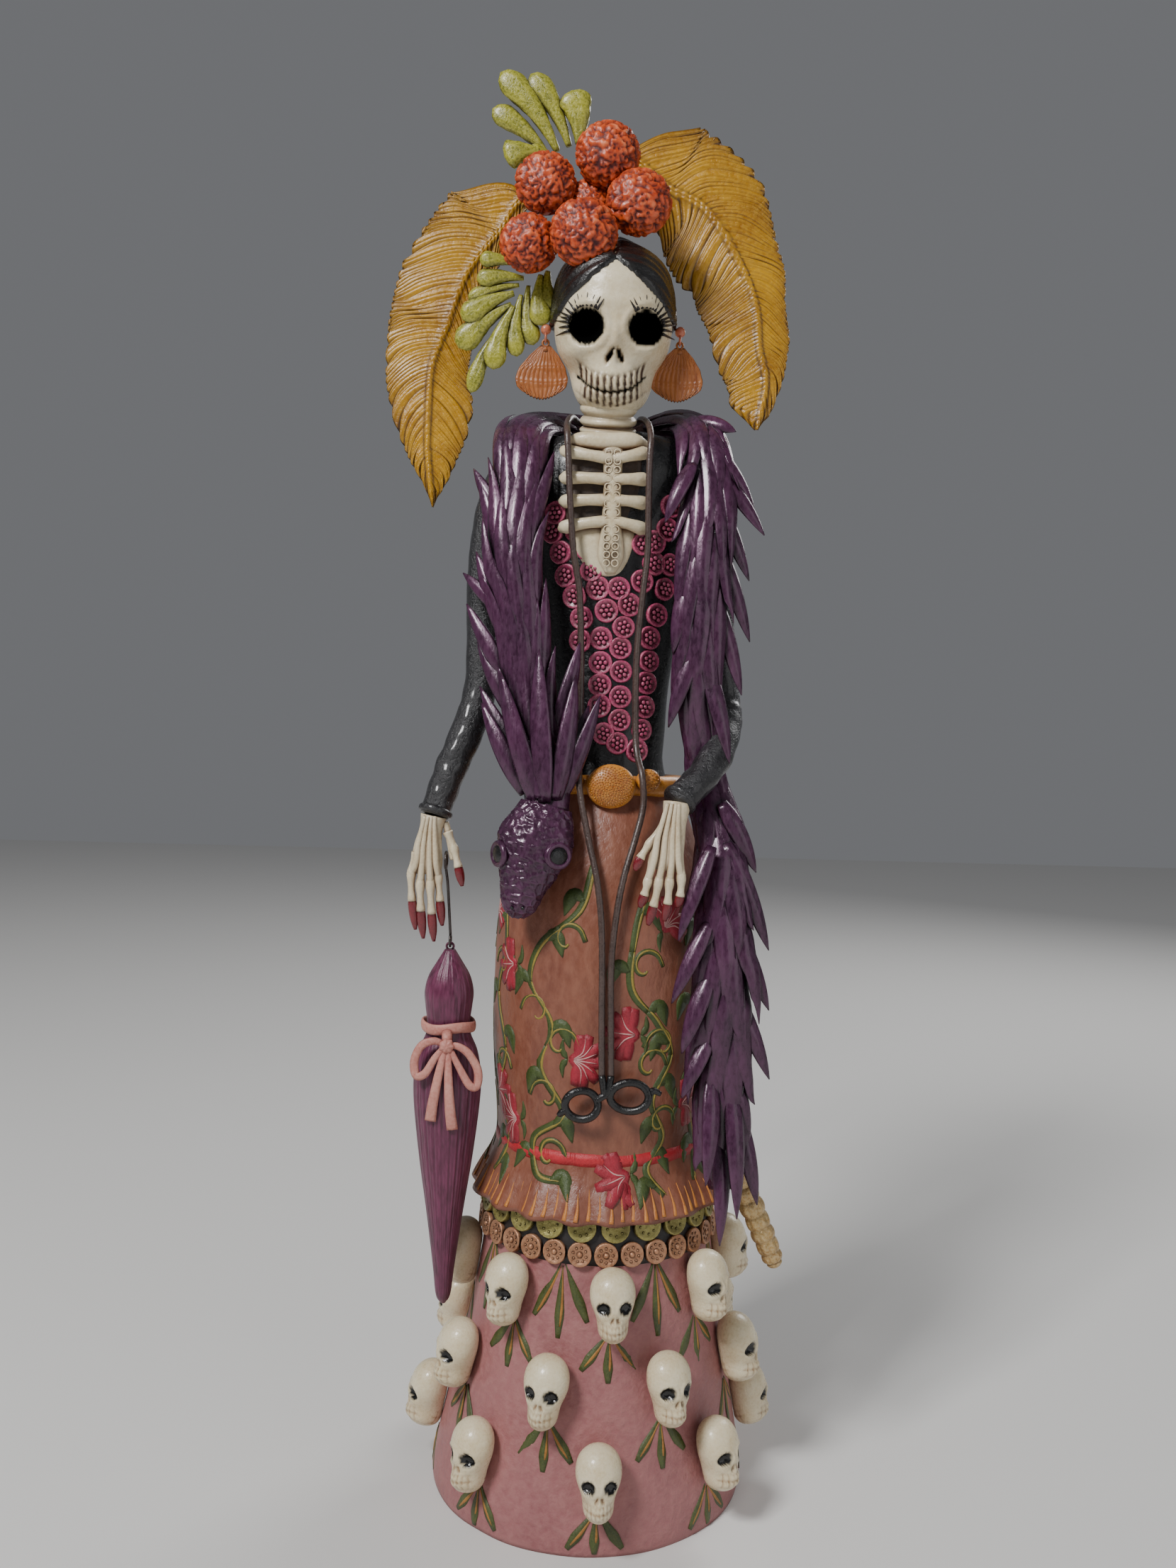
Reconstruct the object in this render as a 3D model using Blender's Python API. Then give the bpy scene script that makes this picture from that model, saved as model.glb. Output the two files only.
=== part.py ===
"""A Mexican catrina figure: a standing skeleton lady in a bell skirt set with small skulls.

She wears a feathered-serpent boa, a flowered hat spray with two plumes, and carries a closed
umbrella on a wire. Papier-mache body on a steel rod and a wooden base. Lengths below are in
millimetres; the figure faces -Y and stands on z = 0.
"""

import math

import bpy
import bmesh
from mathutils import Matrix, Vector
from mathutils.bvhtree import BVHTree

MM = 0.001
GAP = 0.35

SKIRT_RADIUS = 66.4
SKIRT_WALL = 3.0
SKIRT_SIDES = 36
BODY_AXIS_X = 2.5
LEAN_HEIGHT = 90.0
ROD_RADIUS = 2.0
ROD_X = 2.0
ROD_TOP = 416.0
BASE_THICKNESS = 5.6
WAIST_HEIGHT = 299.0
HEAD_CENTRE = Vector((-0.25, -9.0, 485.5))
HEAD_TILT = math.radians(14)
SKULLS_PER_ROW = 8
WIRE_RADIUS = 0.6
UMBRELLA_Y = -24.0

for old in list(bpy.data.objects):
    bpy.data.objects.remove(old, do_unlink=True)

parts = bpy.data.collections.new("catrina_figure")
bpy.context.scene.collection.children.link(parts)


def paint(name, colour, roughness=0.5, metallic=0.0):
    material = bpy.data.materials.new(name)
    material.use_nodes = True
    shader = material.node_tree.nodes["Principled BSDF"]
    shader.inputs["Base Color"].default_value = (*colour, 1)
    shader.inputs["Roughness"].default_value = roughness
    shader.inputs["Metallic"].default_value = metallic
    return material


def mesh_of(bm, name):
    """The bmesh, given in millimetres, as a mesh in metres with its faces outward."""
    bmesh.ops.scale(bm, vec=(MM, MM, MM), verts=bm.verts)
    bmesh.ops.recalc_face_normals(bm, faces=bm.faces)
    if bm.calc_volume(signed=True) < 0:
        bmesh.ops.reverse_faces(bm, faces=bm.faces)
    mesh = bpy.data.meshes.new(name)
    bm.to_mesh(mesh)
    bm.free()
    return mesh


def loft(rings, ends="capped", name="loft"):
    """Skin over rings of equal point counts. ends is capped, or looped to join last to first."""
    bm = bmesh.new()
    made = [[bm.verts.new(point) for point in ring] for ring in rings]
    pairs = list(zip(made, made[1:]))
    if ends == "looped":
        pairs.append((made[-1], made[0]))
    for low, high in pairs:
        for i in range(len(low)):
            j = (i + 1) % len(low)
            bm.faces.new((low[i], low[j], high[j], high[i]))
    if ends == "capped":
        bm.faces.new(made[0][::-1])
        bm.faces.new(made[-1])
    return mesh_of(bm, name)


def circle(radius, z, sides, x=0.0, y=0.0, depth=None):
    """A level ring. depth is its half-size along Y, when it isn't round."""
    depth = radius if depth is None else depth
    turn = 2 * math.pi / sides
    return [
        Vector((x + radius * math.sin(turn * i), y - depth * math.cos(turn * i), z))
        for i in range(sides)
    ]


def tube(path, radii, sides=8, depths=None, closed=False, name="tube", start=(0, -1, 0)):
    """A swept tube. radii run across the path, and depths, if given, along start's side."""
    path = [Vector(p) for p in path]
    depths = radii if depths is None else depths
    side = Vector(start)
    rings = []
    count = len(path)
    for i, point in enumerate(path):
        before = path[(i - 1) % count] if closed or i else point
        after = path[(i + 1) % count] if closed or i < count - 1 else point
        along = (after - before).normalized()
        side = (side - along * side.dot(along)).normalized()
        across = along.cross(side)
        turn = 2 * math.pi / sides
        rings.append(
            [
                point
                + across * radii[i] * math.sin(turn * k)
                + side * depths[i] * math.cos(turn * k)
                for k in range(sides)
            ]
        )
    return loft(rings, "looped" if closed else "capped", name)


def plate(outline, y, thickness, name="plate"):
    """A flat plate from an outline of (x, z) points, standing in a plane of constant y."""
    front = [Vector((x, y - thickness / 2, z)) for x, z in outline]
    back = [Vector((x, y + thickness / 2, z)) for x, z in outline]
    return loft([front, back], "capped", name)


def ball(centre, radii, rings=8, sides=12, name="ball"):
    bm = bmesh.new()
    bmesh.ops.create_uvsphere(bm, u_segments=sides, v_segments=rings, radius=1)
    bmesh.ops.scale(bm, vec=radii, verts=bm.verts)
    bmesh.ops.translate(bm, vec=centre, verts=bm.verts)
    return mesh_of(bm, name)


def combine(mesh, other, operation, name="shape"):
    """Joins, cuts or intersects two meshes with the exact solver."""
    first = bpy.data.objects.new("first", mesh)
    second = bpy.data.objects.new("second", other)
    for piece in (first, second):
        bpy.context.scene.collection.objects.link(piece)
    boolean = first.modifiers.new("boolean", "BOOLEAN")
    boolean.operation = operation
    boolean.solver = "EXACT"
    boolean.object = second
    bpy.context.view_layer.update()
    graph = bpy.context.evaluated_depsgraph_get()
    result = bpy.data.meshes.new_from_object(first.evaluated_get(graph))
    result.name = name
    for piece in (first, second):
        bpy.data.objects.remove(piece, do_unlink=True)
    bm = bmesh.new()
    bm.from_mesh(result)
    bmesh.ops.remove_doubles(bm, verts=bm.verts, dist=0.002 * MM)
    bmesh.ops.triangulate(bm, faces=bm.faces)
    bm.to_mesh(result)
    bm.free()
    return result


def join(meshes):
    whole = meshes[0]
    for mesh in meshes[1:]:
        whole = combine(whole, mesh, "UNION")
    return whole


def grown(mesh, by=GAP):
    """A copy whose faces all stand outside the mesh's by the given millimetres."""
    bm = bmesh.new()
    bm.from_mesh(mesh)
    bm.normal_update()
    moves = [v.normal * min(v.calc_shell_factor(), 3.0) * by * MM for v in bm.verts]
    for vertex, move in zip(bm.verts, moves):
        vertex.co += move
    copy = bpy.data.meshes.new(mesh.name + "_grown")
    bm.to_mesh(copy)
    bm.free()
    return copy


def largest_body(mesh):
    """The mesh without the crumbs that a cut leaves beside its largest body."""
    bm = bmesh.new()
    bm.from_mesh(mesh)
    left = set(bm.verts)
    bodies = []
    while left:
        body = set()
        edge = [left.pop()]
        while edge:
            vertex = edge.pop()
            body.add(vertex)
            for link in vertex.link_edges:
                other = link.other_vert(vertex)
                if other in left:
                    left.discard(other)
                    edge.append(other)
        bodies.append(body)
    bodies.sort(key=len)
    crumbs = [vertex for body in bodies[:-1] for vertex in body]
    bmesh.ops.delete(bm, geom=crumbs, context="VERTS")
    bm.to_mesh(mesh)
    bm.free()
    return mesh


def surface_tree(mesh):
    return BVHTree.FromPolygons([v.co for v in mesh.vertices], [p.vertices for p in mesh.polygons])


placed_cutters = []


def place(name, shapes, material, cut=True):
    """Adds a piece, joined from its shapes and cut back to a gap from every earlier piece."""
    shapes = shapes if isinstance(shapes, list) else [shapes]
    mesh = join(shapes)
    if cut:
        for cutter, tree in placed_cutters:
            if surface_tree(mesh).overlap(tree):
                mesh = combine(mesh, cutter, "DIFFERENCE")
        largest_body(mesh)
    for shape in shapes:
        cutter = grown(shape)
        placed_cutters.append((cutter, surface_tree(cutter)))
    mesh.name = name
    mesh.materials.clear()
    mesh.materials.append(material)
    piece = bpy.data.objects.new(name, mesh)
    parts.objects.link(piece)
    return piece


def axis_x(z):
    """The skirt leans a little to +X as it rises."""
    return BODY_AXIS_X * min(z / LEAN_HEIGHT, 1.0)


def skirt_radius(z):
    profile = [(0, 66.4), (10, 65.8), (20, 64.0), (60, 56.0), (94, 50.2), (125, 46.0), (150, 40.0)]
    for (z0, r0), (z1, r1) in zip(profile, profile[1:]):
        if z <= z1:
            return r0 + (r1 - r0) * (z - z0) / (z1 - z0)
    return profile[-1][1]


# Finishes.
pine = paint("pine", (0.55, 0.38, 0.20), 0.7)
steel = paint("steel", (0.45, 0.45, 0.46), 0.35, 1.0)
rose_paint = paint("dusty_rose", (0.52, 0.27, 0.25), 0.6)
clay_paint = paint("terracotta", (0.48, 0.24, 0.14), 0.5)
old_gold = paint("old_gold", (0.42, 0.34, 0.15), 0.5)
bone = paint("bone", (0.80, 0.72, 0.52), 0.4)
black_paint = paint("gloss_black", (0.015, 0.015, 0.017), 0.25)
coral = paint("coral", (0.72, 0.20, 0.07), 0.5)
olive = paint("olive", (0.28, 0.28, 0.05), 0.5)
ochre = paint("ochre", (0.50, 0.28, 0.04), 0.45)
copper_paint = paint("copper", (0.50, 0.20, 0.10), 0.4)
cord_brown = paint("cord_brown", (0.06, 0.04, 0.035), 0.4)
amber = paint("amber", (0.72, 0.36, 0.06), 0.45)
aubergine = paint("aubergine", (0.16, 0.07, 0.14), 0.35)
wine = paint("wine", (0.16, 0.03, 0.07), 0.5)
salmon = paint("salmon", (0.78, 0.42, 0.35), 0.5)
cob_gold = paint("cob_gold", (0.60, 0.45, 0.20), 0.4)

# The rod in the base, and the skirts it carries.
rod = loft([circle(ROD_RADIUS, z, 12, ROD_X) for z in (2.5, ROD_TOP)])
place("armature_rod", rod, steel)

disc = [(61.6, 0), (62.4, 0.8), (62.4, BASE_THICKNESS - 0.8), (61.6, BASE_THICKNESS)]
place("base_disc", loft([circle(r, z, SKIRT_SIDES) for r, z in disc]), pine)

outer_heights = (0, 20, 60, 94, 125, 150)
skirt_rings = [circle(skirt_radius(z), z, SKIRT_SIDES, axis_x(z)) for z in outer_heights]
skirt_rings.append(circle(34.0, 153.0, SKIRT_SIDES, BODY_AXIS_X))
skirt_rings += [circle(ROD_RADIUS + GAP, z, SKIRT_SIDES, ROD_X) for z in (153.5, 150.5)]
skirt_rings.append(circle(34.0, 150.0, SKIRT_SIDES, BODY_AXIS_X))
skirt_rings += [
    circle(skirt_radius(z) - SKIRT_WALL, z, SKIRT_SIDES, axis_x(z)) for z in (146, 94, 60, 20, 0)
]
place("lower_skirt", loft(skirt_rings, "looped"), rose_paint, cut=False)

GIRDLE_STEPS = 44
girdle_profile = [(0.5, 107.2), (2.6, 107.4), (3.2, 112.0), (2.9, 117.5), (3.9, 123.4),
                  (3.0, 128.4), (0.5, 128.8), (0.5, 125.0)]


def girdle_ring(out, z):
    """The medallions bulge the outer side of the band, twenty-two of them to a row."""
    ring = circle(skirt_radius(z) + out, z, GIRDLE_STEPS, axis_x(z))
    if out > 1:
        for i, point in enumerate(ring):
            hollow = 0.8 * (i % 2)
            point.x -= hollow * math.sin(2 * math.pi * i / GIRDLE_STEPS)
            point.y += hollow * math.cos(2 * math.pi * i / GIRDLE_STEPS)
    return ring


girdle = loft([girdle_ring(out, z) for out, z in girdle_profile], "looped")
place("medallion_girdle", girdle, old_gold, cut=False)

over_outer = [(54.6, 125.0), (50.6, 132.8), (46.2, 141.6), (44.3, 153.0), (46.2, 178.0),
              (47.0, 205.0), (46.4, 232.0), (43.4, 256.0), (38.2, 275.0), (30.2, 293.0),
              (27.0, WAIST_HEIGHT)]
over_inner = [(23.0, 296.4), (33.2, 281.0), (41.2, 255.0), (44.1, 232.0), (44.7, 205.0),
              (43.9, 178.0), (42.0, 153.0), (44.2, 140.8), (48.8, 131.6), (52.8, 124.4)]


def over_ring(radius, z):
    return circle(radius, z, SKIRT_SIDES, BODY_AXIS_X)


over_rings = [over_ring(r, z) for r, z in over_outer]
over_rings += [circle(ROD_RADIUS + GAP, z, SKIRT_SIDES, ROD_X) for z in (WAIST_HEIGHT, 296.4)]
over_rings += [over_ring(r, z) for r, z in over_inner]
place("overskirt", loft(over_rings, "looped"), clay_paint, cut=False)

# Ribs and neck are one piece, let into the front of the black bodice.
neck = tube(
    [(-0.5, 1.0, 418), (-1.0, -0.5, 427), (-1.4, -3.0, 435.5), (-1.4, -5.8, 443),
     (-1.3, -8.2, 449.0), (-1.3, -8.4, 449.6), (-1.2, -12.0, 461.0)],
    [12.0, 12.6, 11.4, 12.6, 12.2, 6.0, 6.0], sides=12)
panel = plate([(-18.5, 436), (-18.5, 401), (-8, 383.5), (9.5, 383.5), (13.3, 401), (13.3, 436)],
              -16, 8)
ribs = [neck, panel]
for z, drop in ((431.0, -4.0), (421.7, -0.5), (414.0, 0.5), (406.0, 3.0)):
    for end in (-17.8, 12.6):
        ribs.append(tube([(0.9, -20.4, z), ((end + 0.9) / 2, -20.6, z - drop * 0.4),
                          (end, -18.4, z - drop)], [2.6, 2.3, 2.6], sides=8))
ribs.append(tube([(0.9, -20.6, 432), (0.9, -21.2, 410), (0.9, -20.8, 386)], [3.6, 3.8, 5.5],
                 sides=8, depths=[2.6, 2.6, 2.2]))
place("ribs_and_neck", ribs, bone)

bodice_rings = [(26.0, 21.0, 299.5), (24.5, 19.0, 315), (27.0, 18.5, 348), (34.5, 19.5, 400),
                (37.0, 19.0, 420), (36.0, 17.0, 435), (29.0, 14.0, 443), (17.0, 10.0, 446.5)]
bodice = loft([circle(w, z, 20, 1.5, 0.0, d) for w, d, z in bodice_rings])
place("bodice", bodice, black_paint)

# Head: rings stacked along an axis that tips forward.
head_up = Vector((0, -math.sin(HEAD_TILT), math.cos(HEAD_TILT)))
head_front = Vector((0, -math.cos(HEAD_TILT), -math.sin(HEAD_TILT)))
head_profile = [(-34.5, 8.0, 6.5, 12.0), (-29.5, 13.8, 12.0, 8.5), (-23.5, 16.2, 16.5, 6.0),
                (-15.5, 18.2, 20.0, 3.0), (-7.0, 23.0, 23.5, 0.5), (2.0, 24.6, 25.5, 0.0),
                (12.0, 24.4, 26.5, -1.0), (22.0, 22.2, 24.5, -1.5), (29.5, 17.4, 19.0, -2.0),
                (35.3, 9.0, 10.0, -2.0), (37.5, 2.0, 2.0, -2.0)]


def head_shape(extra=0.0):
    rings = []
    for up, wide, deep, forward in head_profile:
        rise = up + extra * up / 38
        centre = HEAD_CENTRE + head_up * rise + head_front * forward
        ring = []
        for i in range(20):
            angle = 2 * math.pi * i / 20
            ring.append(centre + Vector((1, 0, 0)) * (wide + extra) * math.sin(angle)
                        + head_front * (deep + extra) * math.cos(angle))
        rings.append(ring)
    return loft(rings)


head = head_shape()
for x in (-10.0, 11.0):
    socket = ball((x, -35.5, 481.3), (6.9, 9.0, 6.9), 6, 10)
    head = combine(head, socket, "DIFFERENCE")
nose = tube([(0.1, -40, 469.5), (0.1, -28, 469.5)], [4.0, 2.5], 6)
head = combine(head, nose, "DIFFERENCE")
place("head", head, bone)

HAIR_THICKNESS = 2.8
face_side = Matrix.Rotation(math.radians(59), 3, "X")
bm = bmesh.new()
bmesh.ops.create_cube(bm, size=100)
bmesh.ops.translate(bm, vec=(0, -50, 0), verts=bm.verts)
bmesh.ops.rotate(bm, matrix=face_side, verts=bm.verts)
bmesh.ops.translate(bm, vec=(0, -33.5, 506), verts=bm.verts)
hair = combine(head_shape(HAIR_THICKNESS), mesh_of(bm, "face_side"), "DIFFERENCE")
place("hair", hair, black_paint)

# Belt with its round buckle.
belt_rings = [circle(r, z, 28, BODY_AXIS_X, 0.0, r - 2.0) for r, z in
              ((31.4, 301.6), (33.4, 300.0), (33.0, 293.0), (24.0, 293.0), (24.0, 301.6))]
buckle = ball((3.2, -34.5, 297.4), (10.2, 5.0, 9.2), 6, 12)
side_disc = ball((18.0, -29.5, 300.6), (5.5, 3.5, 5.0), 6, 8)
place("belt", [loft(belt_rings, "looped"), buckle, side_disc], amber)

# Sleeves and hands.
sleeve_left = tube(
    [(-30, 0, 436), (-41, 0, 429), (-49, -1, 410), (-52.1, -4, 384), (-52.2, -9, 340),
     (-56.7, -14, 320), (-64.0, -19, 300.6), (-69.2, -23.5, 283.5)],
    [9.0, 9.5, 8.2, 7.4, 7.0, 7.0, 6.6, 6.1], sides=12)
sleeve_right = tube(
    [(33, 0, 436), (42, 0, 428), (46.5, -1, 410), (46.0, -2, 380), (49.5, -6, 340),
     (50.5, -13, 324), (43.5, -30, 307), (29.5, -44.5, 292.2)],
    [9.0, 9.5, 8.2, 7.6, 7.3, 7.4, 6.9, 6.3], sides=12)
place("sleeve_left", sleeve_left, black_paint)
place("sleeve_right", sleeve_right, black_paint)

WEB_X = -63.8
EYE_Z = 268.5


def finger(path, radius):
    return tube(path, [radius] * (len(path) - 1) + [radius * 0.45], sides=7)


hand_left = [
    tube([(-69.2, -24, 282.6), (-71.0, -24.2, 272), (-71.6, -24.4, 260)], [5.6, 5.6, 6.4], 10,
         depths=[4.2, 3.2, 3.0]),
    finger([(-76.0, -24, 268), (-77.8, -25, 259.6), (-77.4, -25, 249), (-75.9, -24, 236.1)], 1.9),
    finger([(-73.4, -24, 264), (-74.0, -26, 255), (-73.6, -25.6, 245), (-72.6, -24, 232.5)], 1.9),
    finger([(-70.2, -24, 264), (-69.9, -26, 255), (-69.2, -25.6, 244), (-68.2, -24, 231.4)], 2.0),
    finger([(-64.5, -24, 278), (-60.6, -24.6, 270), (-58.6, -26.0, 263), (-56.8, -26, 254.8)], 2.1),
    plate([(-70, 281), (-64.0, 281), (-60.4, 270), (-60.4, 264.4), (-70, 264.4)], UMBRELLA_Y, 3.2),
]
eye_hole = tube([(WEB_X, -30, EYE_Z), (WEB_X, -18, EYE_Z)], [1.4, 1.4], 12, start=(1, 0, 0))
hand_left[-1] = combine(hand_left[-1], eye_hole, "DIFFERENCE")
place("hand_left", hand_left, bone)

hand_right = [
    tube([(29.0, -45, 291.6), (27.0, -47, 279), (24.8, -47.4, 267)], [5.7, 5.8, 6.8], 10,
         depths=[4.0, 3.0, 2.8]),
    finger([(30.2, -46.5, 277), (31.4, -48.6, 263), (31.2, -49, 256), (30.2, -48, 251)], 1.9),
    finger([(27.6, -46.5, 270), (26.8, -49, 261), (26.4, -49, 253), (25.3, -48, 245.5)], 2.0),
    finger([(24.0, -46.5, 270), (22.6, -49, 261), (20.9, -49, 252), (18.9, -48, 243.7)], 2.0),
    finger([(20.4, -46.5, 270), (18.4, -48.6, 261), (17.2, -48.6, 256), (15.5, -48, 250.6)], 1.9),
    finger([(25.4, -46, 285), (19.0, -47, 276), (15.4, -48, 270.5), (13.2, -48, 265.2)], 2.0),
]
place("hand_right", hand_right, bone)

# Earrings: a stud with a wire hook, and a fan that hangs on the hook.
EARRING_Y = -9.0
HOOK_RADIUS = 2.0
DROP_PIVOT = 5.5


def earring(side, stud_x, stud_z, fan_centre):
    stud = ball((stud_x, EARRING_Y, stud_z), (2.2, 2.2, 2.2), 6, 8)
    centre_z = stud_z - DROP_PIVOT + HOOK_RADIUS
    hook = [(stud_x, EARRING_Y + HOOK_RADIUS * math.sin(a), centre_z + HOOK_RADIUS * math.cos(a))
            for a in [2 * math.pi * i / 14 for i in range(14)]]
    ring = tube(hook, [0.4] * 14, 5, closed=True, start=(1, 0, 0))
    place("earring_stud_" + side, [stud, ring], copper_paint)
    top = stud_z - DROP_PIVOT
    lean = fan_centre - stud_x
    fan = [(stud_x - 1.3, top - 0.8), (stud_x + 1.3, top - 0.8)]
    right = [(4.5, -6), (7.6, -11), (9.4, -15.4), (8.0, -18.6), (4.4, -21.8), (0, -23.4)]
    fan += [(fan_centre + x - lean * max(0, 1 + z / 12), top + z) for x, z in right]
    fan += [(fan_centre - x - lean * max(0, 1 + z / 12), top + z) for x, z in right[-2::-1]]
    eye = [(stud_x + 1.6 * math.sin(a), top + 1.6 * math.cos(a))
           for a in [2 * math.pi * i / 12 for i in range(12)]]
    drop = combine(plate(fan[::-1], EARRING_Y, 1.4), plate(eye, EARRING_Y, 1.4), "UNION")
    bore = tube([(stud_x, EARRING_Y - 4, top), (stud_x, EARRING_Y + 4, top)], [0.8, 0.8], 12,
                start=(1, 0, 0))
    place("earring_drop_" + side, combine(drop, bore, "DIFFERENCE"), copper_paint, cut=False)


earring("left", -28.3, 487.0, -30.2)
earring("right", 27.8, 487.2, 27.6)

# Flowers, leaves and plumes of the hat.
flowers = [
    ((-4.2, -16.0, 556.5), 13.6),
    ((-29.8, -15.0, 544.6), 11.5),
    ((8.9, -22.0, 535.0), 13.4),
    ((-13.1, -29.5, 519.6), 13.9),
    ((-35.9, -20.0, 517.9), 11.6),
]
for number, (centre, radius) in enumerate(flowers, 1):
    blossom = ball(centre, (radius, radius * 0.62, radius), 6, 12)
    place(f"flower_{number}", blossom, coral)

top_leaves = [(-26, 556), (-34, 551), (-43.0, 553), (-46.5, 558), (-44.0, 562.5), (-35.5, 563.5),
              (-48.0, 571.5), (-54.0, 575.5), (-53.0, 580.5), (-47.0, 579.0), (-37.5, 573.0),
              (-46.0, 583.0), (-53.5, 590.5), (-51.5, 596.5), (-46.0, 594.0), (-36.8, 581.0),
              (-40.5, 590.0), (-37.0, 595.5), (-32.0, 592.0), (-28.5, 577.0), (-24.5, 575.0),
              (-25.5, 584.0), (-20.0, 588.5), (-13.5, 583.0), (-14.5, 572.0), (-12.0, 560.0)]
place("leaf_spray_top", plate(top_leaves[::-1], -3.0, 4.0), olive)

side_leaves = [(-28, 514), (-26.5, 500), (-25.8, 493), (-28.6, 489.5), (-30.5, 487), (-32.4, 480),
               (-35.0, 484), (-37.5, 474.5), (-41.5, 477), (-43.0, 488), (-46.5, 470),
               (-51.0, 469.5), (-52.5, 477), (-56.0, 462), (-60.0, 459.5), (-60.2, 466),
               (-57.5, 478), (-62.5, 475.5), (-67.0, 479.5), (-62.0, 488), (-55.5, 493.5),
               (-65.0, 490), (-63.0, 496.5), (-54.0, 501), (-62.0, 500), (-59.0, 504.5),
               (-51.0, 507), (-58.5, 509.5), (-50.5, 513.0), (-45.0, 520), (-36, 524)]
place("leaf_spray_side", plate(side_leaves, -9.0, 5.0), olive)

feather_left = [(-34, 540), (-38, 547), (-44.5, 556.5), (-52.1, 559.3), (-58.3, 557.3),
                (-65.8, 552.8), (-73.2, 547.7), (-78.1, 540.1), (-83.6, 532.5), (-87.8, 525.0),
                (-92.1, 517.4), (-94.4, 507.4), (-96.4, 497.4), (-97.6, 483.0), (-97.5, 468.6),
                (-94.0, 452.4), (-86.1, 435.1), (-78.9, 423.9), (-76.6, 414.5), (-72.4, 415.3),
                (-73.2, 422.8), (-69.4, 426.7), (-67.0, 433.0), (-61.6, 445.7), (-58.7, 457.1),
                (-59.5, 463.3), (-62.1, 469.5), (-60.5, 482.0), (-54.7, 507.1), (-46.3, 526.0)]
place("feather_left", plate(feather_left[::-1], 6.0, 3.6), ochre)

feather_right = [(2, 566), (4.0, 574.6), (11.4, 579.7), (22.6, 581.8), (35.2, 579.0), (47.9, 570.7),
                 (59.5, 559.9), (64.1, 552.6), (65.5, 546.5), (69.1, 531.7), (73.2, 519.4),
                 (73.7, 503.3), (76.0, 489.7), (73.9, 474.7), (68.7, 459.6), (62.7, 449.5),
                 (55.1, 451.8), (50.4, 461.7), (48.9, 470.4), (44.3, 477.8), (40.0, 493.8),
                 (35.4, 501.2), (33.3, 508.6), (27.0, 512.1), (21.7, 520.7), (19.0, 530.0),
                 (12, 545)]
place("feather_right", plate(feather_right, 5.0, 3.6), ochre)

# Cord and spectacles lie over the chest and the overskirt's front.
left_strand = [(2.2, -49.0, 183), (1.6, -49.4, 205), (1.2, -49.4, 228), (0.4, -48.8, 246),
               (-1.8, -46.5, 262), (-5.4, -42.5, 277), (-8.8, -39.0, 293), (-9.8, -36.5, 303),
               (-10.0, -26.0, 325), (-10.2, -24.8, 350), (-11.4, -24.8, 376), (-14.2, -25.0, 392),
               (-16.2, -25.6, 414), (-17.2, -25.2, 430), (-18.0, -23.4, 441), (-18.4, -16.0, 446.5),
               (-16.6, -5.0, 452.0), (-12.5, 8.0, 452.5)]
right_strand = [(5.8, -49.0, 183), (5.2, -49.4, 205), (4.8, -49.4, 228), (6.2, -48.4, 246),
                (8.9, -46.0, 262), (13.2, -41.5, 277), (16.2, -37.6, 290), (15.6, -35.6, 302),
                (13.0, -27.0, 316), (12.6, -24.8, 350), (14.4, -24.4, 376), (16.0, -23.6, 394),
                (15.8, -24.4, 414), (15.8, -24.4, 431), (16.2, -22.0, 440.5), (15.2, -15.0, 447.5),
                (12.8, -4.0, 452.0), (9.8, 8.0, 453)]
cord = left_strand + [(-2.0, 12.0, 453)] + right_strand[::-1]
place("neck_cord", tube(cord, [1.4] * len(cord), 6), cord_brown)


def lens(x, y, z, wide, tall):
    ring = [(x + wide * math.sin(a), y + 0.6 * math.sin(2 * a), z + tall * math.cos(a))
            for a in [2 * math.pi * i / 12 for i in range(12)]]
    return tube(ring, [1.3] * 12, 5, closed=True)


glasses = [
    lens(-5.6, -50.4, 172.2, 6.5, 5.7),
    lens(13.2, -50.0, 175.8, 7.6, 5.7),
    tube([(0.2, -50.4, 174), (3.4, -50.4, 175.6), (6.4, -50.2, 175.6)], [1.2] * 3, 6),
    tube([(-11.6, -50.2, 170), (-13.4, -49.8, 168.8), (-14.6, -49.4, 167.6)], [1.2, 1.1, 0.8], 6),
    tube([(20.0, -49.8, 176), (22.6, -48.6, 178), (25.6, -47.8, 176.6)], [1.2, 1.1, 0.8], 6),
]
place("spectacles", glasses, black_paint)


# The boa: a cord body with long leaf-shaped feathers, a serpent head and a rattle.
def leaf(base, tip, width):
    base = Vector(base)
    tip = Vector(tip)
    shares = ((0.0, 0.5), (0.4, 1.0), (1.0, 0.12))
    path = [base.lerp(tip, t) for t, _ in shares]
    widths = [width / 2 * s for _, s in shares]
    return tube(path, widths, 5, depths=[w * 0.55 for w in widths])


boa_left = [tube(
    [(-2.0, 21, 448), (-18, 19, 450), (-30, 9, 447), (-37, -8, 438), (-38, -16.5, 418),
     (-38, -24, 395), (-36, -26, 370), (-33, -27, 345), (-27.5, -31, 318), (-23.0, -37, 300),
     (-22.0, -41, 287)],
    [6.5, 8.0, 10.0, 11.5, 12.0, 11.5, 11.0, 10.5, 11.0, 11.5, 10.5], 10,
    depths=[5.5, 6.0, 6.5, 7.0, 6.5, 6.0, 6.0, 6.0, 6.0, 6.0, 6.0])]
for base, tip, width in (
    ((-40, -22, 385), (-54.5, -14, 425), 9), ((-38, -24, 395), (-48, -13, 433), 9),
    ((-38, -26, 352), (-54.5, -20, 392.5), 9), ((-36, -28, 335), (-58, -20, 371), 9),
    ((-34, -29, 322), (-53, -22, 355.5), 9), ((-30, -32, 300), (-51.5, -24, 337), 9),
    ((-30, -32, 310), (-40, -30, 352), 9), ((-20, -34, 318), (-10.8, -30, 355.5), 8),
    ((-17, -39, 300), (-6.5, -33, 330), 8),
):
    boa_left.append(leaf(base, tip, width))
place("boa_left", boa_left, aubergine)

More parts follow.
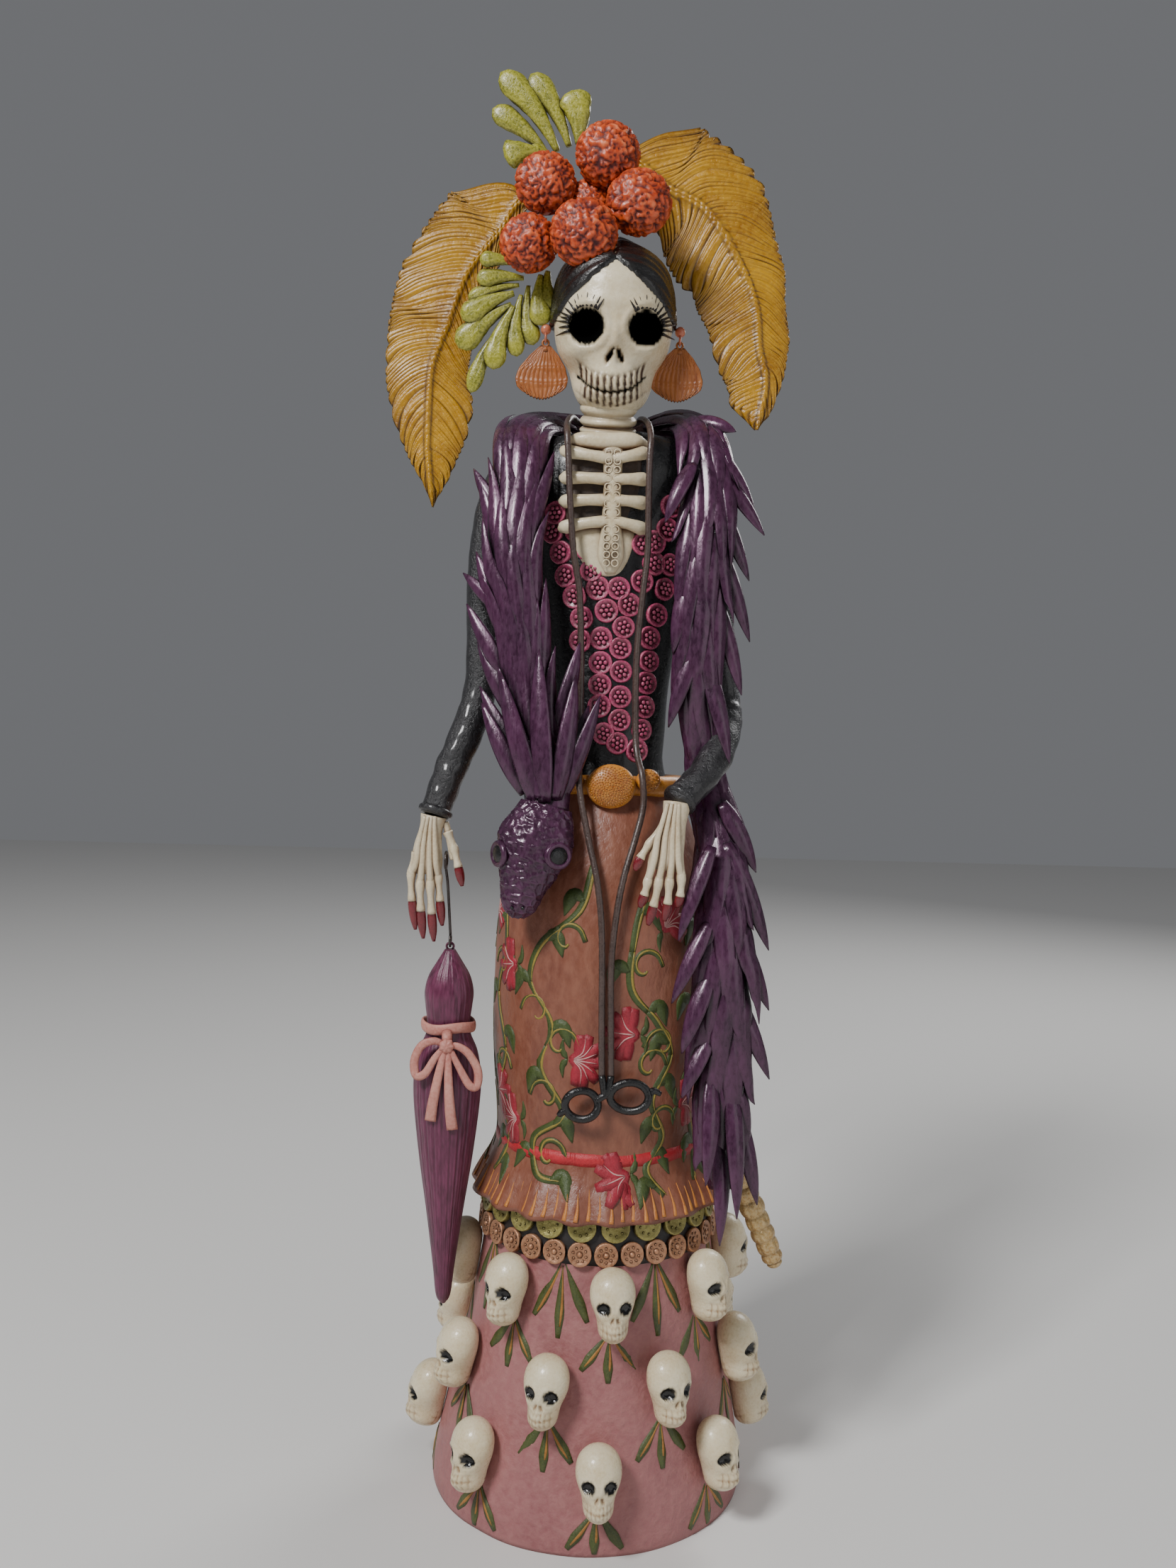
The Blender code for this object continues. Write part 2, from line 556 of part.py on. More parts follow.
boa_right = [tube(
    [(2.0, 21, 448), (20, 18, 452), (33, 6, 449), (39, -9, 438), (40, -17, 418),
     (39, -22, 395), (38, -24, 370), (38, -24, 345), (40, -20, 320), (43, -19, 302),
     (46.5, -26, 282), (48.5, -33, 260), (49.5, -36.5, 235), (50.0, -37, 205), (50.0, -36, 175),
     (51.0, -36, 150), (52, -38, 136)],
    [6.5, 8.0, 9.5, 10.5, 11.0, 11.0, 10.5, 9.5, 8.0, 7.0, 8.5, 10.5, 12.0, 12.5, 12.0, 9.5, 6.0],
    10, depths=[5.5, 6.0, 6.5, 6.5, 6.0, 6.0, 6.0, 5.5, 5.0, 4.5, 5.0, 5.5, 6.0, 6.0, 5.5, 5.0, 4.0])]
for base, tip, width in (
    ((35, -4, 452), (52, -12, 446), 8), ((40, -16, 440), (60, -18, 412), 9),
    ((42, -18, 430), (64, -20, 402), 8), ((40, -22, 420), (58, -22, 383), 9),
    ((42, -24, 400), (59, -22, 358), 9), ((42, -24, 378), (56, -24, 336), 9),
    ((40, -26, 350), (51, -32, 308), 9), ((34, -22, 430), (22.5, -28, 405), 8),
    ((34, -26, 385), (27, -30, 352), 9), ((38, -27, 360), (26, -30, 322), 9),
    ((48, -32, 292), (63, -32, 264), 9), ((50, -36, 276), (68.5, -36, 233), 9),
    ((52, -38, 245), (69, -38, 209), 9), ((52, -38, 220), (70, -38, 181), 9),
    ((44, -42, 275), (31, -49, 238), 8), ((44, -42, 245), (29, -48, 213), 8),
    ((45, -42, 225), (33.5, -47, 193), 9), ((46, -41, 200), (34, -46, 175), 8),
    ((52, -38, 190), (62.5, -40, 157), 9), ((50, -38, 165), (50.5, -50, 117), 8),
    ((56, -36, 170), (66, -42, 131), 8),
):
    boa_right.append(leaf(base, tip, width))
place("boa_right", boa_right, aubergine)

serpent = tube(
    [(-22.5, -42.5, 289.0), (-24.0, -43.5, 283.0), (-26.2, -44.6, 275.5), (-28.6, -45.2, 266.5),
     (-30.8, -46.2, 257.5), (-32.2, -47.0, 249.5), (-32.6, -47.2, 246.4)],
    [10.0, 13.0, 15.4, 13.6, 9.6, 7.2, 4.2], 14, depths=[6.0, 8.6, 10.4, 10.0, 8.6, 7.0, 4.0])
place("serpent_head", serpent, aubergine)

rattle_path = [(56, -24, 152), (59, -25, 143), (62, -26, 134), (65.5, -27, 126), (69, -27.5, 118),
               (72, -28, 111), (75, -28, 104), (76.5, -28, 100)]
place("serpent_rattle", tube(rattle_path, [4.2, 5.0, 5.4, 5.4, 5.2, 5.0, 4.4, 2.6], 10), cob_gold)

# The umbrella: a wire with an eye at each end, a closed canopy and its bow.
EYE_RADIUS = 3.4
LOW_EYE_RADIUS = 2.4
LOW_WIRE = 0.5
CANOPY_X = -61.4
CANOPY_TOP = 228.0
eye_centre = EYE_Z - EYE_RADIUS
low_eye_centre = CANOPY_TOP + 1.6 + LOW_EYE_RADIUS


def wire_eye(x, centre_z, radius, wire):
    path = [(x, UMBRELLA_Y + radius * math.sin(a), centre_z + radius * math.cos(a))
            for a in [2 * math.pi * i / 16 for i in range(16)]]
    return tube(path, [wire] * 16, 6, closed=True, start=(1, 0, 0))


stem = tube([(WEB_X, UMBRELLA_Y, eye_centre - EYE_RADIUS + 0.1), (WEB_X + 1.0, UMBRELLA_Y, 254),
             (CANOPY_X, UMBRELLA_Y, low_eye_centre + LOW_EYE_RADIUS - 0.1)],
            [WIRE_RADIUS] * 3, 6)
umbrella_wire = [
    stem,
    wire_eye(WEB_X, eye_centre, EYE_RADIUS, WIRE_RADIUS),
    wire_eye(CANOPY_X, low_eye_centre, LOW_EYE_RADIUS, LOW_WIRE),
]
place("umbrella_wire", umbrella_wire, steel, cut=False)

canopy_profile = [(1.2, 80.0), (3.2, 84.0), (4.6, 96.0), (7.6, 118.0), (11.2, 142.0), (13.9, 164.0),
                  (14.2, 176.0), (12.6, 186.0), (9.6, 193.0), (9.0, 198.0), (9.8, 205.0),
                  (10.2, 211.0), (8.6, 217.5), (5.2, 223.5), (2.4, CANOPY_TOP)]
canopy = loft([circle(r, z, 16, CANOPY_X, UMBRELLA_Y) for r, z in canopy_profile])
tab = [(CANOPY_X + 1.9 * math.sin(a), CANOPY_TOP + 1.6 + 1.9 * math.cos(a))
       for a in [2 * math.pi * i / 14 for i in range(14)]]
low_hole = tube([(CANOPY_X, UMBRELLA_Y - 4, CANOPY_TOP + 1.6),
                 (CANOPY_X, UMBRELLA_Y + 4, CANOPY_TOP + 1.6)], [0.9, 0.9], 12, start=(1, 0, 0))
canopy = combine(canopy, plate(tab, UMBRELLA_Y, 1.6), "UNION")
canopy = combine(canopy, low_hole, "DIFFERENCE")
place("umbrella_canopy", canopy, wine, cut=False)

BOW_Y = UMBRELLA_Y - 14.6
bow_band = loft([circle(r, z, 16, CANOPY_X, UMBRELLA_Y) for r, z in
                 ((9.6, 199.2), (11.2, 199.0), (11.6, 195.0), (9.8, 194.6))], "looped")


def bow_loop(points):
    return tube(points, [1.5] * len(points), 6, closed=True)


bow = [
    bow_band,
    ball((-60.5, BOW_Y + 1.4, 191.6), (3.8, 2.6, 3.8), 6, 10),
    tube([(-60.8, UMBRELLA_Y - 10.4, 196.6), (-60.5, BOW_Y + 1.6, 192)], [2.2, 2.0], 6,
         start=(1, 0, 0)),
    bow_loop([(-62.5, BOW_Y + 1, 191.5), (-67, BOW_Y + 1, 193.2), (-71.6, BOW_Y + 1, 190.6),
              (-74.0, BOW_Y + 1, 184.5), (-73.0, BOW_Y, 178.6), (-69.2, BOW_Y, 179.0),
              (-65.6, BOW_Y, 184)]),
    bow_loop([(-58.0, BOW_Y + 1, 191), (-54.4, BOW_Y + 1, 190.6), (-50.4, BOW_Y + 1, 187),
              (-47.0, BOW_Y, 180.6), (-47.6, BOW_Y, 174.6), (-51.0, BOW_Y, 174.6),
              (-54.8, BOW_Y, 180.4)]),
    tube([(-61.6, BOW_Y + 0.6, 190), (-63.4, BOW_Y - 0.6, 180), (-65.6, BOW_Y, 168),
          (-66.6, BOW_Y + 1.4, 161)], [1.7, 1.9, 2.0, 1.8], 6, depths=[1.1] * 4),
    tube([(-59.8, BOW_Y + 0.6, 190), (-59.4, BOW_Y - 0.6, 178), (-58.6, BOW_Y, 166),
          (-57.6, BOW_Y + 1.4, 157)], [1.7, 1.9, 2.1, 1.8], 6, depths=[1.1] * 4),
]
place("umbrella_bow", bow, salmon)

# Small skulls in three staggered rows, each leaning back with the skirt.
skull_profile = [(-14.2, 3.8, 13.0), (-11.0, 5.4, 14.8), (-4.5, 6.2, 15.0), (3.0, 8.9, 16.6),
                 (9.0, 8.2, 15.2), (13.0, 4.8, 11.0), (14.4, 2.0, 7.6)]
SKULL_BACK = 0.4


def small_skull(angle, height):
    """Rings along the skirt's slope; the back is flat against the skirt."""
    rise = skirt_radius(height - 14) - skirt_radius(height + 14)
    lean = math.atan2(rise, 28)
    out = Vector((math.sin(angle), -math.cos(angle), 0))
    across = Vector((math.cos(angle), math.sin(angle), 0))
    normal = out * math.cos(lean) + Vector((0, 0, math.sin(lean)))
    up = Vector((0, 0, math.cos(lean))) - out * math.sin(lean)
    root = Vector((axis_x(height), 0, height)) + out * skirt_radius(height)
    rings = []
    for along, wide, deep in skull_profile:
        ring = []
        for i in range(8):
            turn = 2 * math.pi * i / 8
            depth = max(SKULL_BACK, deep / 2 * (1 + math.cos(turn)))
            ring.append(root + up * along + across * wide * math.sin(turn) + normal * depth)
        rings.append(ring)
    return loft(rings)


rows = (("top", 94.3, 6.0), ("middle", 60.6, -17.0), ("bottom", 30.0, 3.0))
for row, height, first in rows:
    for number in range(SKULLS_PER_ROW):
        angle = math.radians(first + 360 / SKULLS_PER_ROW * number)
        place(f"skull_{row}_{number + 1}", small_skull(angle, height), bone)
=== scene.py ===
"""A catrina figure in painted papier-mache, built piece by piece from its stand upwards."""

import math

import bmesh
import bpy
import numpy as np
from mathutils import Matrix, Vector, noise


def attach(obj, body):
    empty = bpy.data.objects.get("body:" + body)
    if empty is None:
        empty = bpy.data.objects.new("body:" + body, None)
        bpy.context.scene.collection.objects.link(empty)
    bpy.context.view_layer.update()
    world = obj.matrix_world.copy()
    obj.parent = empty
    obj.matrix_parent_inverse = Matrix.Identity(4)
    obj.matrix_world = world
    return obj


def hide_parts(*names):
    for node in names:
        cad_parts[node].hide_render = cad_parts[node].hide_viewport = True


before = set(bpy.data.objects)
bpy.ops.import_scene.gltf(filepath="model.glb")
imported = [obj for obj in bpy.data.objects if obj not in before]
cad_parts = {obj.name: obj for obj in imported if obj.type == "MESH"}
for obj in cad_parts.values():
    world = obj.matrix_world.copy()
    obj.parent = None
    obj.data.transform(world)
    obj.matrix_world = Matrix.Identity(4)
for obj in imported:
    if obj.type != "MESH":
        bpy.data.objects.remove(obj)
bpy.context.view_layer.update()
mm = 0.001

# Stage: a pale floor, three soft lights and the camera. The camera stands a little below the
# figure's middle, about its own height away, and leans slightly.
floor_bm = bmesh.new()
bmesh.ops.create_grid(floor_bm, x_segments=1, y_segments=1, size=3)
floor_mesh = bpy.data.meshes.new("floor")
floor_bm.to_mesh(floor_mesh)
floor_bm.free()
floor = bpy.data.objects.new("floor", floor_mesh)
bpy.context.scene.collection.objects.link(floor)
floor_paint = bpy.data.materials.new("floor_paint")
floor_paint.use_nodes = True
floor_paint.node_tree.nodes["Principled BSDF"].inputs["Base Color"].default_value = (0.72, 0.71, 0.69, 1)
floor_paint.node_tree.nodes["Principled BSDF"].inputs["Roughness"].default_value = 0.9
floor.data.materials.append(floor_paint)


def soft_light(name, place, target, size, watts):
    lamp = bpy.data.lights.new(name, "AREA")
    lamp.size = size
    lamp.energy = watts
    holder = bpy.data.objects.new(name, lamp)
    holder.location = place
    holder.rotation_mode = "QUATERNION"
    holder.rotation_quaternion = (Vector(target) - Vector(place)).to_track_quat("-Z", "Y")
    bpy.context.scene.collection.objects.link(holder)


soft_light("window", (-0.80, -1.05, 1.50), (0, 0, 0.32), 0.40, 32)
soft_light("fill", (1.3, -1.1, 0.6), (0, 0, 0.3), 1.2, 4.5)
soft_light("rim", (0.9, 1.1, 1.2), (0, 0, 0.4), 0.7, 11)
world = bpy.data.worlds.new("studio")
bpy.context.scene.world = world
world.use_nodes = True
world.node_tree.nodes["Background"].inputs["Color"].default_value = (0.93, 0.95, 1.0, 1)
world.node_tree.nodes["Background"].inputs["Strength"].default_value = 0.17

camera_data = bpy.data.cameras.new("camera")
camera_data.sensor_width = 36
camera_data.lens = 29.7
camera = bpy.data.objects.new("camera", camera_data)
camera.matrix_world = (
    Matrix.Translation((-0.0061, -0.5559, 0.3166))
    @ Matrix.Rotation(math.radians(88), 4, "X")
    @ Matrix.Rotation(math.radians(1.4), 4, "Z")
)
bpy.context.scene.collection.objects.link(camera)
bpy.context.scene.camera = camera

# Stand: a pine disc shut into the bottom of the skirt, and the steel rod it holds, which runs up
# inside the body. Both are bare, and only the disc's underside shows.


def effect_group(name, inputs, outputs):
    """A shader node group with named inputs (name, default) and float or vector outputs."""
    group = bpy.data.node_groups.new(name, "ShaderNodeTree")
    for label, default in inputs:
        kind = "NodeSocketVector" if isinstance(default, tuple) else "NodeSocketFloat"
        socket = group.interface.new_socket(label, in_out="INPUT", socket_type=kind)
        socket.default_value = default
    for label in outputs:
        group.interface.new_socket(label, in_out="OUTPUT", socket_type="NodeSocketFloat")
    return group, group.nodes.new("NodeGroupInput"), group.nodes.new("NodeGroupOutput")


# Uneven paint: soft clouds and finer speckle, as a mask from 0 to 1.
uneven, given, result = effect_group("uneven_paint", [("Scale", 60.0), ("Stretch", (1.0, 1.0, 1.0))],
                                     ["Clouds", "Speckle"])
coords = uneven.nodes.new("ShaderNodeTexCoord")
stretched = uneven.nodes.new("ShaderNodeVectorMath")
stretched.operation = "MULTIPLY"
uneven.links.new(coords.outputs["Object"], stretched.inputs[0])
uneven.links.new(given.outputs["Stretch"], stretched.inputs[1])
for share, label in ((1.0, "Clouds"), (9.0, "Speckle")):
    finer = uneven.nodes.new("ShaderNodeMath")
    finer.operation = "MULTIPLY"
    finer.inputs[1].default_value = share
    uneven.links.new(given.outputs["Scale"], finer.inputs[0])
    clouds = uneven.nodes.new("ShaderNodeTexNoise")
    clouds.inputs["Detail"].default_value = 5.0
    clouds.inputs["Roughness"].default_value = 0.6
    uneven.links.new(stretched.outputs[0], clouds.inputs["Vector"])
    uneven.links.new(finer.outputs[0], clouds.inputs["Scale"])
    spread = uneven.nodes.new("ShaderNodeMapRange")
    spread.inputs["From Min"].default_value = 0.35
    spread.inputs["From Max"].default_value = 0.65
    uneven.links.new(clouds.outputs["Fac"], spread.inputs["Value"])
    uneven.links.new(spread.outputs["Result"], result.inputs[label])

# Hollows from ambient occlusion: the colour laid there is partly brown glaze and partly painted shade.
glaze_and_shade_group, given, result = effect_group("glaze_and_painted_shade", [("Reach", 0.003), ("Sharpness", 1.6)], ["Hollows"])
shade = glaze_and_shade_group.nodes.new("ShaderNodeAmbientOcclusion")
shade.samples = 6
shade.only_local = True
glaze_and_shade_group.links.new(given.outputs["Reach"], shade.inputs["Distance"])
turned = glaze_and_shade_group.nodes.new("ShaderNodeMath")
turned.operation = "SUBTRACT"
turned.inputs[0].default_value = 1.0
glaze_and_shade_group.links.new(shade.outputs["AO"], turned.inputs[1])
sharper = glaze_and_shade_group.nodes.new("ShaderNodeMath")
sharper.operation = "MULTIPLY"
sharper.use_clamp = True
glaze_and_shade_group.links.new(turned.outputs[0], sharper.inputs[0])
glaze_and_shade_group.links.new(given.outputs["Sharpness"], sharper.inputs[1])
glaze_and_shade_group.links.new(sharper.outputs[0], result.inputs["Hollows"])


def link(tree, source, target):
    tree.links.new(source, target)
    return target


def blend_colour(tree, mask, under, over, strength=1.0):
    """Lays one colour over another where the mask is high."""
    mix = tree.nodes.new("ShaderNodeMix")
    mix.data_type = "RGBA"
    if strength != 1.0:
        scaled = tree.nodes.new("ShaderNodeMath")
        scaled.operation = "MULTIPLY"
        scaled.inputs[1].default_value = strength
        tree.links.new(mask, scaled.inputs[0])
        mask = scaled.outputs[0]
    tree.links.new(mask, mix.inputs["Factor"])
    for socket, colour in ((mix.inputs["A"], under), (mix.inputs["B"], over)):
        if isinstance(colour, tuple):
            socket.default_value = (*colour, 1)
        else:
            tree.links.new(colour, socket)
    return mix.outputs["Result"]


def painted(name, colour, shadow, light=None, rough=0.45, coat=0.0, scale=60.0,
            stretch=(1.0, 1.0, 1.0), glaze_and_shade=None, reach=0.003, hollows=1.6, bump=0.00012,
            metallic=0.0, masks=(), speckle=0.35, sheen=0.0):
    """Brushed paint: two tones in clouds, a lighter speckle, glaze and painted shade in hollows, fine bump.

    masks are (attribute, colour, roughness) painted over the rest from a mesh attribute.
    """
    material = bpy.data.materials.new(name)
    material.use_nodes = True
    tree = material.node_tree
    shader = tree.nodes["Principled BSDF"]
    shader.inputs["Metallic"].default_value = metallic
    shader.inputs["Coat Weight"].default_value = coat
    shader.inputs["Coat Roughness"].default_value = 0.12
    shader.inputs["Sheen Weight"].default_value = sheen
    tone = tree.nodes.new("ShaderNodeGroup")
    tone.node_tree = uneven
    tone.inputs["Scale"].default_value = scale
    tone.inputs["Stretch"].default_value = stretch
    base = blend_colour(tree, tone.outputs["Clouds"], shadow, colour)
    if light:
        base = blend_colour(tree, tone.outputs["Speckle"], base, light, speckle)
    # The colour given for the hollows goes where ambient occlusion finds them: partly brown glaze, partly painted
    # shade.
    if glaze_and_shade:
        hollow = tree.nodes.new("ShaderNodeGroup")
        hollow.node_tree = glaze_and_shade_group
        hollow.inputs["Reach"].default_value = reach
        hollow.inputs["Sharpness"].default_value = hollows
        base = blend_colour(tree, hollow.outputs["Hollows"], base, glaze_and_shade)
    rough_source = tree.nodes.new("ShaderNodeMapRange")
    rough_source.inputs["To Min"].default_value = rough * 0.8
    rough_source.inputs["To Max"].default_value = min(1.0, rough * 1.25)
    tree.links.new(tone.outputs["Speckle"], rough_source.inputs["Value"])
    roughness = rough_source.outputs["Result"]
    for attribute, over, over_rough in masks:
        where = tree.nodes.new("ShaderNodeAttribute")
        where.attribute_name = attribute
        base = blend_colour(tree, where.outputs["Fac"], base, over)
        swap = tree.nodes.new("ShaderNodeMix")
        swap.inputs["B"].default_value = over_rough
        tree.links.new(where.outputs["Fac"], swap.inputs["Factor"])
        tree.links.new(roughness, swap.inputs["A"])
        roughness = swap.outputs["Result"]
        if over_rough == 1.0:
            matt = tree.nodes.new("ShaderNodeMapRange")
            matt.inputs["To Min"].default_value = 0.5
            matt.inputs["To Max"].default_value = 0.0
            tree.links.new(where.outputs["Fac"], matt.inputs["Value"])
            tree.links.new(matt.outputs["Result"], shader.inputs["Specular IOR Level"])
    tree.links.new(base, shader.inputs["Base Color"])
    tree.links.new(roughness, shader.inputs["Roughness"])
    relief = tree.nodes.new("ShaderNodeBump")
    relief.inputs["Strength"].default_value = 0.6
    relief.inputs["Distance"].default_value = bump
    tree.links.new(tone.outputs["Speckle"], relief.inputs["Height"])
    tree.links.new(relief.outputs["Normal"], shader.inputs["Normal"])
    return material


def repaint(node, material):
    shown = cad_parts[node]
    shown.data.materials.clear()
    shown.data.materials.append(material)


bare_pine = painted("bare_pine", (0.56, 0.38, 0.20), (0.42, 0.26, 0.13), (0.66, 0.48, 0.28), 0.7,
                    scale=22, stretch=(1, 12, 1), bump=0.0003)
rod_steel = painted("rod_steel", (0.50, 0.50, 0.51), (0.38, 0.38, 0.39), (0.6, 0.6, 0.6), 0.32,
                    scale=80, stretch=(1, 1, 0.1), metallic=1.0)
repaint("base_disc", bare_pine)
repaint("armature_rod", rod_steel)

# Lower skirt: a papier-mache bell, laid over a form, painted a dusty rose and glued to the disc.
# It leans a little to +X as it rises.
SKIRT_PROFILE = np.array([(0, 66.2), (3, 66.6), (10, 65.9), (20, 64.0), (40, 60.0), (60, 56.0),
                          (78, 52.7), (94, 50.2), (125, 46.0), (150, 40.0)])


def skirt_radius(z):
    return float(np.interp(z, SKIRT_PROFILE[:, 0], SKIRT_PROFILE[:, 1]))


def axis_x(z):
    return 2.5 * min(max(z, 0) / 90.0, 1.0)


def finish_piece(name, bm, material, body="figure", replaces=(), smooth=True, scale=mm):
    """Makes an object from a bmesh in millimetres, gives it its body and hides the CAD nodes it replaces."""
    bmesh.ops.scale(bm, vec=(scale, scale, scale), verts=bm.verts)
    bmesh.ops.recalc_face_normals(bm, faces=bm.faces)
    mesh = bpy.data.meshes.new(name)
    bm.to_mesh(mesh)
    bm.free()
    mesh.materials.append(material)
    if smooth:
        mesh.shade_smooth()
    made = bpy.data.objects.new(name, mesh)
    bpy.context.scene.collection.objects.link(made)
    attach(made, body)
    if replaces:
        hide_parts(*replaces)
    return made


def turned(profile, steps, centre=(0, 0)):
    """A closed turned shell: the profile's points are joined in a loop and spun round."""
    bm = bmesh.new()
    points = [bm.verts.new((radius, 0, z)) for radius, z in profile]
    edges = [bm.edges.new((a, b)) for a, b in zip(points, points[1:] + points[:1])]
    bmesh.ops.spin(bm, geom=points + edges, cent=(0, 0, 0), axis=(0, 0, 1),
                   angle=2 * math.pi, steps=steps, use_merge=True)
    bmesh.ops.remove_doubles(bm, verts=bm.verts, dist=0.001)
    bmesh.ops.translate(bm, vec=(*centre, 0), verts=bm.verts)
    return bm


def uneven_surface(bm, size, depth, seed=0.0):
    """Moves each point a little along its normal, as hand-laid paper and filler leave it."""
    bm.normal_update()
    for vertex in bm.verts:
        wave = noise.noise(vertex.co / size + Vector((seed, seed, seed)))
        vertex.co += vertex.normal * wave * depth


outer = [(skirt_radius(z), z) for z in (0, 1.5, 3, 6, *range(10, 151, 5))]
inner = [(skirt_radius(z) - 3.0, z) for z in range(146, -1, -10)] + [(skirt_radius(0) - 3.0, 0)]
skirt_bm = turned(outer + [(34, 153), (2.6, 153.5), (2.6, 150.5), (34, 150)] + inner, 128)
for vertex in skirt_bm.verts:
    vertex.co.x += axis_x(vertex.co.z)
uneven_surface(skirt_bm, 22, 0.5)
for vertex in skirt_bm.verts:
    vertex.co.z = max(vertex.co.z, 0)
rose = painted("rose_paint", (0.37, 0.145, 0.145), (0.28, 0.098, 0.103), (0.46, 0.23, 0.21), 0.48,
               scale=38, glaze_and_shade=(0.10, 0.045, 0.04), reach=0.006, hollows=0.9, bump=0.00035)
finish_piece("rose_skirt", skirt_bm, rose, replaces=["lower_skirt"])



def through(rows, count):
    """A smooth run of count rows through the given ones; a row may hold widths after its place."""
    given_rows = np.array(rows, float)
    padded_rows = np.vstack([2 * given_rows[0] - given_rows[1], given_rows,
                             2 * given_rows[-1] - given_rows[-2]])
    smooth = []
    for s in np.linspace(0, len(given_rows) - 1, count):
        i = min(int(s), len(given_rows) - 2)
        t = s - i
        a, b, c, d = padded_rows[i:i + 4]
        smooth.append(b + 0.5 * ((c - a) * t + (2 * a - 5 * b + 4 * c - d) * t * t
                                 + (3 * b - a - 3 * c + d) * t ** 3))
    return np.array(smooth)


def sweep(bm, rows, sides=8, facing=(0, -1, 0), shape=None, closed=False):
    """Extrudes a ring along rows of (x, y, z, half width, half depth); depth lies on the facing side.

    facing may be one direction or one for each row. shape(turn, t) gives an extra growth.
    """
    rows = np.asarray(rows, float)
    path = [Vector(row[:3]) for row in rows]
    count = len(path)
    first = bmesh.ops.create_circle(bm, cap_ends=False, segments=sides, radius=1)["verts"]
    rings = [sorted(first, key=lambda v: math.atan2(v.co.x, v.co.y))]
    for _ in range(count - 1):
        ring = rings[-1]
        edges = [bm.edges.get((ring[k], ring[(k + 1) % sides])) for k in range(sides)]
        made = bmesh.ops.extrude_edge_only(bm, edges=edges)["geom"]
        fresh = {g for g in made if isinstance(g, bmesh.types.BMVert)}
        rings.append([next(e.other_vert(v) for e in v.link_edges if e.other_vert(v) in fresh)
                      for v in ring])
    for i, ring in enumerate(rings):
        before = path[(i - 1) % count] if closed or i else path[i]
        after = path[(i + 1) % count] if closed or i < count - 1 else path[i]
        along = (after - before).normalized()
        face = Vector(facing[i] if isinstance(facing, (list, np.ndarray)) else facing)
        side = (face - along * face.dot(along)).normalized()
        across = along.cross(side)
        for k, vertex in enumerate(ring):
            turn = 2 * math.pi * k / sides
            grow = shape(turn, i / (count - 1)) if shape else 1.0
            vertex.co = (path[i] + across * float(rows[i][3]) * grow * math.sin(turn)
                         + side * float(rows[i][4]) * grow * math.cos(turn))
    ends = [[bm.edges.get((ring[k], ring[(k + 1) % sides])) for k in range(sides)]
            for ring in (rings[0], rings[-1])]
    if closed:
        bmesh.ops.bridge_loops(bm, edges=ends[0] + ends[1])
    else:
        for end in ends:
            bmesh.ops.holes_fill(bm, edges=end, sides=sides)
    return bm


def with_width(points, widths, depths=None):
    """Rows for sweep from points and widths given at even steps along them."""
    steps = np.linspace(0, 1, len(points))
    wide = np.interp(steps, np.linspace(0, 1, len(widths)), widths)
    deep = wide if depths is None else np.interp(steps, np.linspace(0, 1, len(depths)), depths)
    return np.column_stack([np.array(points, float), wide, deep])


# Brushed leaf sprigs on the skirt, under and between the skulls: three tapering strokes each, of
# green or ochre paint laid on thickly over the rose.


def on_skirt(angle, height, lift=0.0):
    """The frame at a place on the skirt: x across, y up the slope, z straight out of it."""
    lean = math.atan2(skirt_radius(height - 14) - skirt_radius(height + 14), 28)
    out = Vector((math.sin(angle), -math.cos(angle), 0))
    across = Vector((math.cos(angle), math.sin(angle), 0))
    normal = out * math.cos(lean) + Vector((0, 0, math.sin(lean)))
    up = Vector((0, 0, math.cos(lean))) - out * math.sin(lean)
    root = Vector((axis_x(height), 0, height)) + out * (skirt_radius(height) + lift)
    return Matrix.Translation(root) @ Matrix((across, up, normal)).transposed().to_4x4()


def brush(bm, surface, points, width, thick=0.35, full=(0.25, 1, 0.85, 0.12), count=9):
    """A stroke of paint along (angle, height) points, angles in degrees round the figure."""
    fine = through(points, count)
    frames = [surface(math.radians(a), z) for a, z in fine]
    steps = np.linspace(0, 1, len(fine))
    wide = width / 2 * np.interp(steps, (0, 0.25, 0.7, 1), full)
    rows = [(*f.to_translation(), w, thick) for f, w in zip(frames, wide)]
    sweep(bm, rows, 6, facing=[f.to_3x3() @ Vector((0, 0, 1)) for f in frames])


